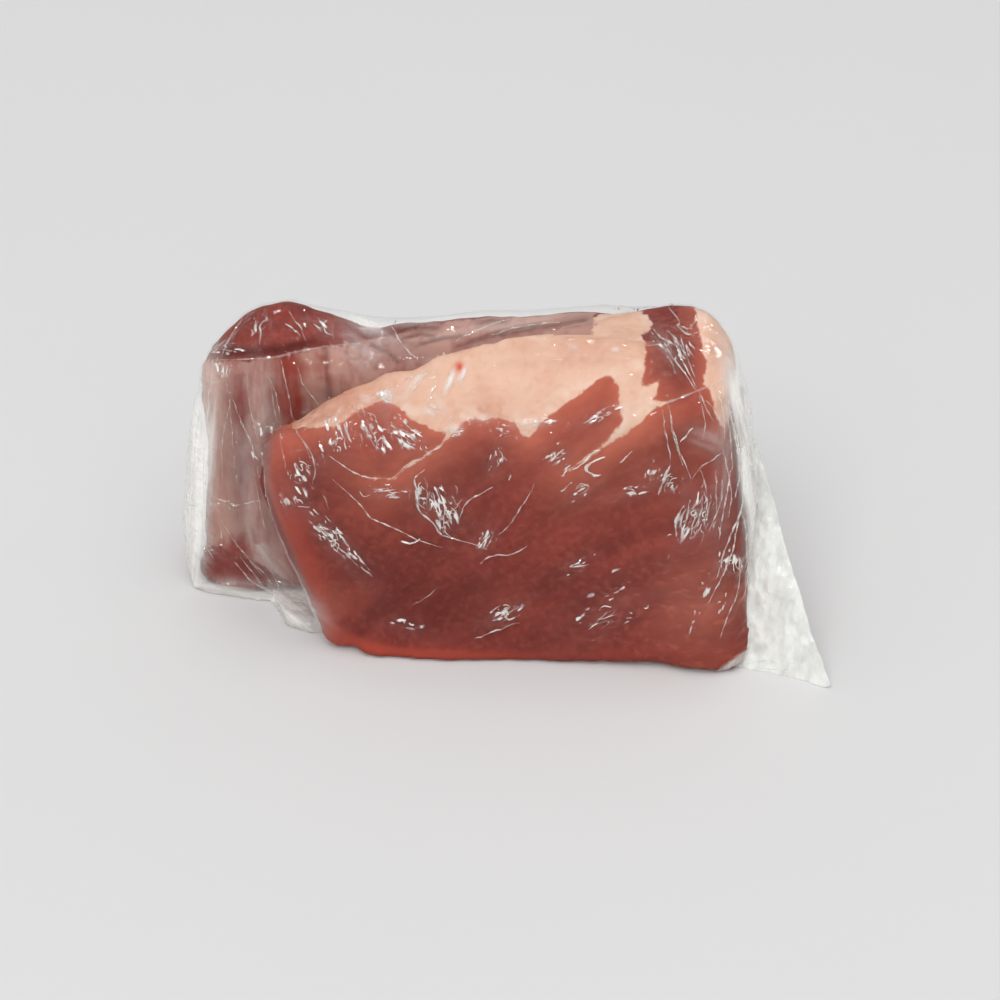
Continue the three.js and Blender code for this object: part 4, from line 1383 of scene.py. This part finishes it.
def film_wrap(meat):
    slab = closed_loft("film_slab", close_rings(slab_rings(0, STEP), 3))
    bridge = closed_loft("film_bridge", bridge_rings(70, 14, 40))
    web = closed_loft("film_web", web_rings())
    piece = fuse("film_wrap", [slab, bridge, web], 8)
    tree = surface_tree(meat)
    calm, clearance = calm_film(piece, tree)
    write_points(piece, calm)
    points = creased(calm, read_normals(piece), clearance)
    points, clearance = keep_outside(points, tree, CREASED_CLEARANCE)
    points = relax_points(piece, points, 8)
    leaf_end = 1 - smooth(25, 45, fold_distance(points)[0])
    clear = keep_outside(points, tree, LEAF_END_CLEARANCE)[0]
    points = points + (clear - points) * leaf_end[:, None]
    points[:, 2] = np.maximum(points[:, 2], 0)
    write_points(piece, points)
    write_film_fields(piece, *film_fields(points, read_normals(piece), clearance))
    piece.data.materials.append(film_material("clear_film"))
    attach(piece, "root")
    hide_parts("film_pack")
    return piece


def on_film(tree, origin, direction):
    """Where a ray meets the film, and the film's outward direction there, or nothing."""
    hit, normal, _, _ = tree.ray_cast(Vector(origin * MM), Vector(direction))
    if hit is None:
        return None
    normal = np.array(normal)
    return np.array(hit) / MM, normal if normal @ direction < 0 else -normal


def pixel_route(tree, knots, rng, wander):
    """Stretches of a route of pixels laid on the film, cut where the film falls away behind an edge."""
    knots = np.asarray(knots, float)
    length = np.linalg.norm(np.diff(knots, axis=0), axis=1).sum() * PIXEL_SIZE
    route = curve_through(knots, max(4, int(length / FOLD_STEP)))
    route = route + np.cumsum(rng.normal(size=route.shape), axis=0) * wander / math.sqrt(len(route))
    stretches, current = [], []
    for pixel in route:
        found = on_film(tree, EYE, ray_through(pixel))
        apart = found and current and np.linalg.norm(found[0] - current[-1][0]) > 4 * FOLD_STEP
        if not found or apart:
            stretches.append(current)
            current = []
        if found:
            current.append(found)
    return [stretch for stretch in stretches + [current] if len(stretch) > 2]


def side_route(tree, start, angle, length, bow):
    """Route across a leaf's outer side, from a distance along the fold and a height."""
    count = max(5, int(length / FOLD_STEP))
    found = []
    for k in range(count):
        share = k / (count - 1)
        reach = length * (share - 0.5)
        s = start[0] + reach * math.cos(angle) - bow * math.sin(math.pi * share) * math.sin(angle)
        z = start[1] + reach * math.sin(angle) + bow * math.sin(math.pi * share) * math.cos(angle)
        centre, tangent = fold_place(np.array([s]))
        outward = np.array([tangent[0, 1], -tangent[0, 0], 0])
        origin = np.array([centre[0, 0], centre[0, 1], z]) + outward * 60
        hit = on_film(tree, origin, -outward)
        if hit and 2 < z < 140:
            found.append(hit)
    return found


def add_ridge(ridges, stretch, width, height, haze, rng):
    """Three-sided ridge along a stretch of the film, fine at both ends and unevenly milky."""
    places, normals = np.array(stretch).transpose(1, 0, 2)
    along = np.gradient(places, axis=0)
    side = np.cross(normals, along)
    side /= np.linalg.norm(side, axis=1)[:, None] + 1e-9
    count = len(places)
    taper = np.sin(np.pi * (np.arange(count) + 0.5) / count) ** 0.6
    rough = 0.75 + 0.25 * np.sin(np.cumsum(rng.uniform(0.2, 1.4, count)))
    half = (width / 2 * taper * rough)[:, None]
    crest = (height * taper * rough)[:, None]
    lean = rng.uniform(-0.3, 0.3)
    rings = np.stack([
        places - side * half - normals * 0.25,
        places + side * half - normals * 0.25,
        places + normals * crest + side * half * lean], 1)
    offset = sum(len(ridge[0]) for ridge in ridges)
    last = 3 * (count - 1)
    faces = ring_quads(count, 3) + [[2, 1, 0], [last, last + 1, last + 2]]
    milky = haze * np.clip(rough * rng.uniform(0.6, 1.3, count), 0, 1)
    ridges.append((rings.reshape(-1, 3), shifted(faces, offset), np.repeat(milky, 3)))


def long_folds(tree, ridges, rng):
    """Long folds and hems of the film, along the routes that the photograph shows."""
    for width, height, knots in LONG_FOLDS:
        for stretch in pixel_route(tree, knots, rng, 1.6):
            add_ridge(ridges, stretch, LONG_FOLD_WIDTH * width, LONG_FOLD_HEIGHT * height, 0.3 * width, rng)
    for knots in (HEM_LEFT, HEM_RIGHT):
        for stretch in pixel_route(tree, knots, rng, 0.5):
            add_ridge(ridges, stretch, HEM_WIDTH, HEM_HEIGHT, 0.15, rng)


def small_folds(tree, ridges, rng):
    """Short bowed folds, scattered over the crumpled places; their milky white is partly whitened film and
    partly painted highlight.
    """
    for x, y, along, across, turn, count in CRUMPLED_SPOTS:
        angle = math.radians(turn)
        first = np.array([math.cos(angle), math.sin(angle)])
        second = np.array([-first[1], first[0]])
        for _ in range(int(count * SMALL_FOLD_CROWD)):
            middle = np.array([x, y]) + first * rng.normal() * along * 0.6
            middle = middle + second * rng.normal() * across * 0.6
            heading = angle + rng.normal() * 0.45
            half = SMALL_FOLD / 2 * (0.25 + rng.random() ** 2)
            way = np.array([math.cos(heading), math.sin(heading)]) * half
            bow = np.array([-way[1], way[0]]) * rng.uniform(-0.8, 0.8)
            for stretch in pixel_route(tree, (middle - way, middle + bow, middle + way), rng, 0.5):
                width, height, haze = rng.uniform((0.3, 0.2, 0.5), (0.8, 0.4, 1))
                add_ridge(ridges, stretch, width, height, haze, rng)


def back_folds(tree, ridges, rng):
    """The hem's way round the back, and folds scattered over the sides that the photograph doesn't show."""
    hem = []
    for s in np.arange(FRONT_LEAF + BEND_RADIUS, FOLD_LENGTH - 12, FOLD_STEP):
        hem += side_route(tree, (s, HEM_BACK_HEIGHT + 3 * math.sin(s / 40)), 0, 0.01, 0)[:1]
    add_ridge(ridges, hem, HEM_WIDTH, HEM_HEIGHT, 0.25, rng)
    for _ in range(BACK_FOLDS):
        start = rng.uniform((FRONT_LEAF + 45, 10), (FOLD_LENGTH - 10, 135))
        length = rng.uniform(4, 15)
        stretch = side_route(tree, start, rng.uniform(0, math.pi), length, rng.normal() * length / 8)
        if len(stretch) > 3:
            width, height, haze = rng.uniform((0.5, 0.25, 0.15), (1.1, 0.45, 0.5))
            add_ridge(ridges, stretch, width, height, haze, rng)


def film_folds(wrap, tail):
    """Folds and small crumples of the film as fine ridges that stand on it."""
    tree = surface_tree(wrap, tail)
    rng = np.random.default_rng(7)
    ridges = []
    long_folds(tree, ridges, rng)
    small_folds(tree, ridges, rng)
    back_folds(tree, ridges, rng)
    points, faces, haze = zip(*ridges)
    piece = make_mesh("film_folds", np.concatenate(points), [face for ridge in faces for face in ridge])
    piece.data.set_sharp_from_angle(angle=math.radians(30))
    flat = np.ones(len(piece.data.vertices))
    write_film_fields(
        piece, np.concatenate(haze), 0.3 * flat, LOOSE_MIRROR * flat, 0 * flat, read_points(piece))
    piece.data.materials.append(film_material("folded_film"))
    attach(piece, "root")
    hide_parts("film_pack")
    return piece


def tail_front():
    """Front of the loose corner, level by level from its root on the bend to its outer edge."""
    reach = BEND_RADIUS + THICKNESS / 2 - TAIL_HOLD
    front = np.empty((TAIL_LEVELS + 1, TAIL_ACROSS + 1, 3))
    knots = np.array(TAIL_EDGE_FROM_BEND, float) + np.append(BEND_CENTRE, 0)
    for i, tip in enumerate(curve_through(knots, TAIL_LEVELS + 1)):
        rise = i / TAIL_LEVELS
        angle = TAIL_ROOT_FOOT_ANGLE + (TAIL_ROOT_TOP_ANGLE - TAIL_ROOT_FOOT_ANGLE) * rise
        root = np.append(BEND_CENTRE + reach * np.array([math.cos(angle), math.sin(angle)]), tip[2])
        way = (tip - root) * (1 - TAIL_TIP_ROUND * max(0, 1 - rise / TAIL_TIP_SHARE) ** 2)
        sideways = np.array([way[1], -way[0], 0]) / np.linalg.norm(way)
        for k in range(TAIL_ACROSS + 1):
            share = k / TAIL_ACROSS
            ripple = TAIL_RIPPLE * share * math.sin(share * 7 + rise * 5)
            front[i, k] = root + way * share + sideways * ripple
    return front.reshape(-1, 3)


def wrinkled(flat):
    """The loose corner's front with its wrinkles, which fade out at its root and stay above the floor."""
    fold = 1.3 * wave_noise(flat, 24, 31, (1, 1, 2.5)) - 1.1 * np.abs(wave_noise(flat, 13, 32, (1, 1, 2.2)))
    fold = fold - 0.7 * np.abs(wave_noise(flat, 6, 34, (1, 1, 1.8)))
    edge_share = np.tile(np.arange(TAIL_ACROSS + 1) / TAIL_ACROSS, TAIL_LEVELS + 1)
    flat = flat + np.array([0.4, -0.9, 0.1]) * (fold * smooth(0.12, 0.45, edge_share))[:, None]
    flat[:, 2] = np.maximum(flat[:, 2], 0)
    flat[:TAIL_ACROSS + 1, 2] = 0
    return flat


def sheet_faces(levels, across):
    """Faces of a thin sheet: its front, its back with the same points again, and the rim between them."""
    front = ring_quads(levels + 1, across + 1, closed=False)
    grid = np.arange((levels + 1) * (across + 1)).reshape(levels + 1, across + 1)
    rim = np.concatenate([grid[0], grid[1:, -1], grid[-1, -2::-1], grid[-2:0:-1, 0]]).tolist()
    sides = [[b, a, grid.size + a, grid.size + b] for a, b in zip(rim, rim[1:] + rim[:1])]
    return front + shifted([face[::-1] for face in front], grid.size) + sides


def film_tail():
    flat = wrinkled(tail_front())
    back = flat + np.array([0.35, 0.94, 0]) * TAIL_THICKNESS
    piece = make_mesh("film_tail", np.concatenate([flat, back]), sheet_faces(TAIL_LEVELS, TAIL_ACROSS))
    lower = 1 - smooth(0, 90, flat[:, 2])
    milky = 1.05 + 0.15 * lower + 0.1 * wave_noise(flat, 20, 33, (1, 1, 2.5))
    even = np.ones(2 * len(flat))
    grain = read_points(piece) * TAIL_GRAIN
    write_film_fields(piece, np.tile(milky, 2), 0.25 * even, LOOSE_MIRROR * even, 0 * even, grain)
    piece.data.materials.append(film_material("loose_film", TAIL_SHADE, TAIL_WHITE))
    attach(piece, "root")
    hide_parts("film_pack")
    return piece


# Surroundings

FLOOR_REACH = 4000
FLOOR_LOW = (0.69, 0.69, 0.69, 1)
FLOOR_HIGH = (0.71, 0.71, 0.71, 1)
WORLD_STRENGTH = 0.45
LIGHT_AIM = Vector((0, 0, 0.07))
# Soft lights: name, azimuth and elevation in degrees, distance and size in metres, radiance
SOFT_LIGHTS = (("key", 14, 48, 8, 4.4, 3.8), ("soft_box", 0, 76, 7, 8, 1.3))
# Small lights that only make highlights on the film: azimuth and elevation
GLINT_PLACES = (
    (12, 30), (-28, 42), (40, 48), (-8, 70), (85, 40), (-80, 38), (150, 38), (-150, 34), (180, 60),
)
GLINT_DISTANCE = 2
GLINT_SIZE = 0.13
GLINT_RADIANCE = 60


def make_camera():
    data = bpy.data.cameras.new("camera")
    data.sensor_width = SENSOR
    data.lens = SENSOR * FOCAL_PIXELS / FRAME_PIXELS
    camera = bpy.data.objects.new("camera", data)
    camera.location = Vector(EYE * MM)
    camera.rotation_euler = (math.pi / 2 - CAMERA_ELEVATION, 0, 0)
    bpy.context.scene.collection.objects.link(camera)
    bpy.context.scene.camera = camera


def make_floor():
    corners = [(x * FLOOR_REACH, y * FLOOR_REACH, 0) for x, y in ((-1, -1), (1, -1), (1, 1), (-1, 1))]
    floor = make_mesh("floor", corners, [[0, 1, 2, 3]])
    m = Material("pale_floor")
    tone = m.noise(m.add("TexCoord", {}, "Object"), 3)
    m.shade("Base Color", m.mix(tone, FLOOR_LOW, FLOOR_HIGH))
    m.shade("Roughness", 0.9)
    m.shade("Specular IOR Level", 0.1)
    floor.data.materials.append(m.made)


def make_world():
    world = bpy.data.worlds.new("studio")
    bpy.context.scene.world = world
    world.use_nodes = True
    background = world.node_tree.nodes["Background"]
    background.inputs["Color"].default_value = (1, 1, 1, 1)
    background.inputs["Strength"].default_value = WORLD_STRENGTH


def area_light(name, azimuth, elevation, distance, size, radiance, glints):
    """Square light around the pack, in front at azimuth 0, left at 90. Glints only make highlights."""
    data = bpy.data.lights.new(name, "AREA")
    data.shape = "SQUARE"
    data.size = size
    data.energy = radiance * math.pi * size * size
    light = bpy.data.objects.new(name, data)
    turn, rise = math.radians(azimuth), math.radians(elevation)
    way = Vector((-math.sin(turn) * math.cos(rise), -math.cos(turn) * math.cos(rise), math.sin(rise)))
    light.location = LIGHT_AIM + way * distance
    light.rotation_euler = way.to_track_quat("Z", "Y").to_euler()
    light.visible_diffuse = not glints
    light.visible_glossy = glints
    bpy.context.scene.collection.objects.link(light)


def make_lights():
    for soft_light in SOFT_LIGHTS:
        area_light(*soft_light, False)
    for i, place in enumerate(GLINT_PLACES):
        area_light("glint_" + str(i), *place, GLINT_DISTANCE, GLINT_SIZE, GLINT_RADIANCE, True)


bpy.context.scene.view_settings.view_transform = "Standard"
make_camera()
make_world()
make_floor()
make_lights()
slab = rib_slab()
wrap = film_wrap(slab)
tail = film_tail()
folds = film_folds(wrap, tail)
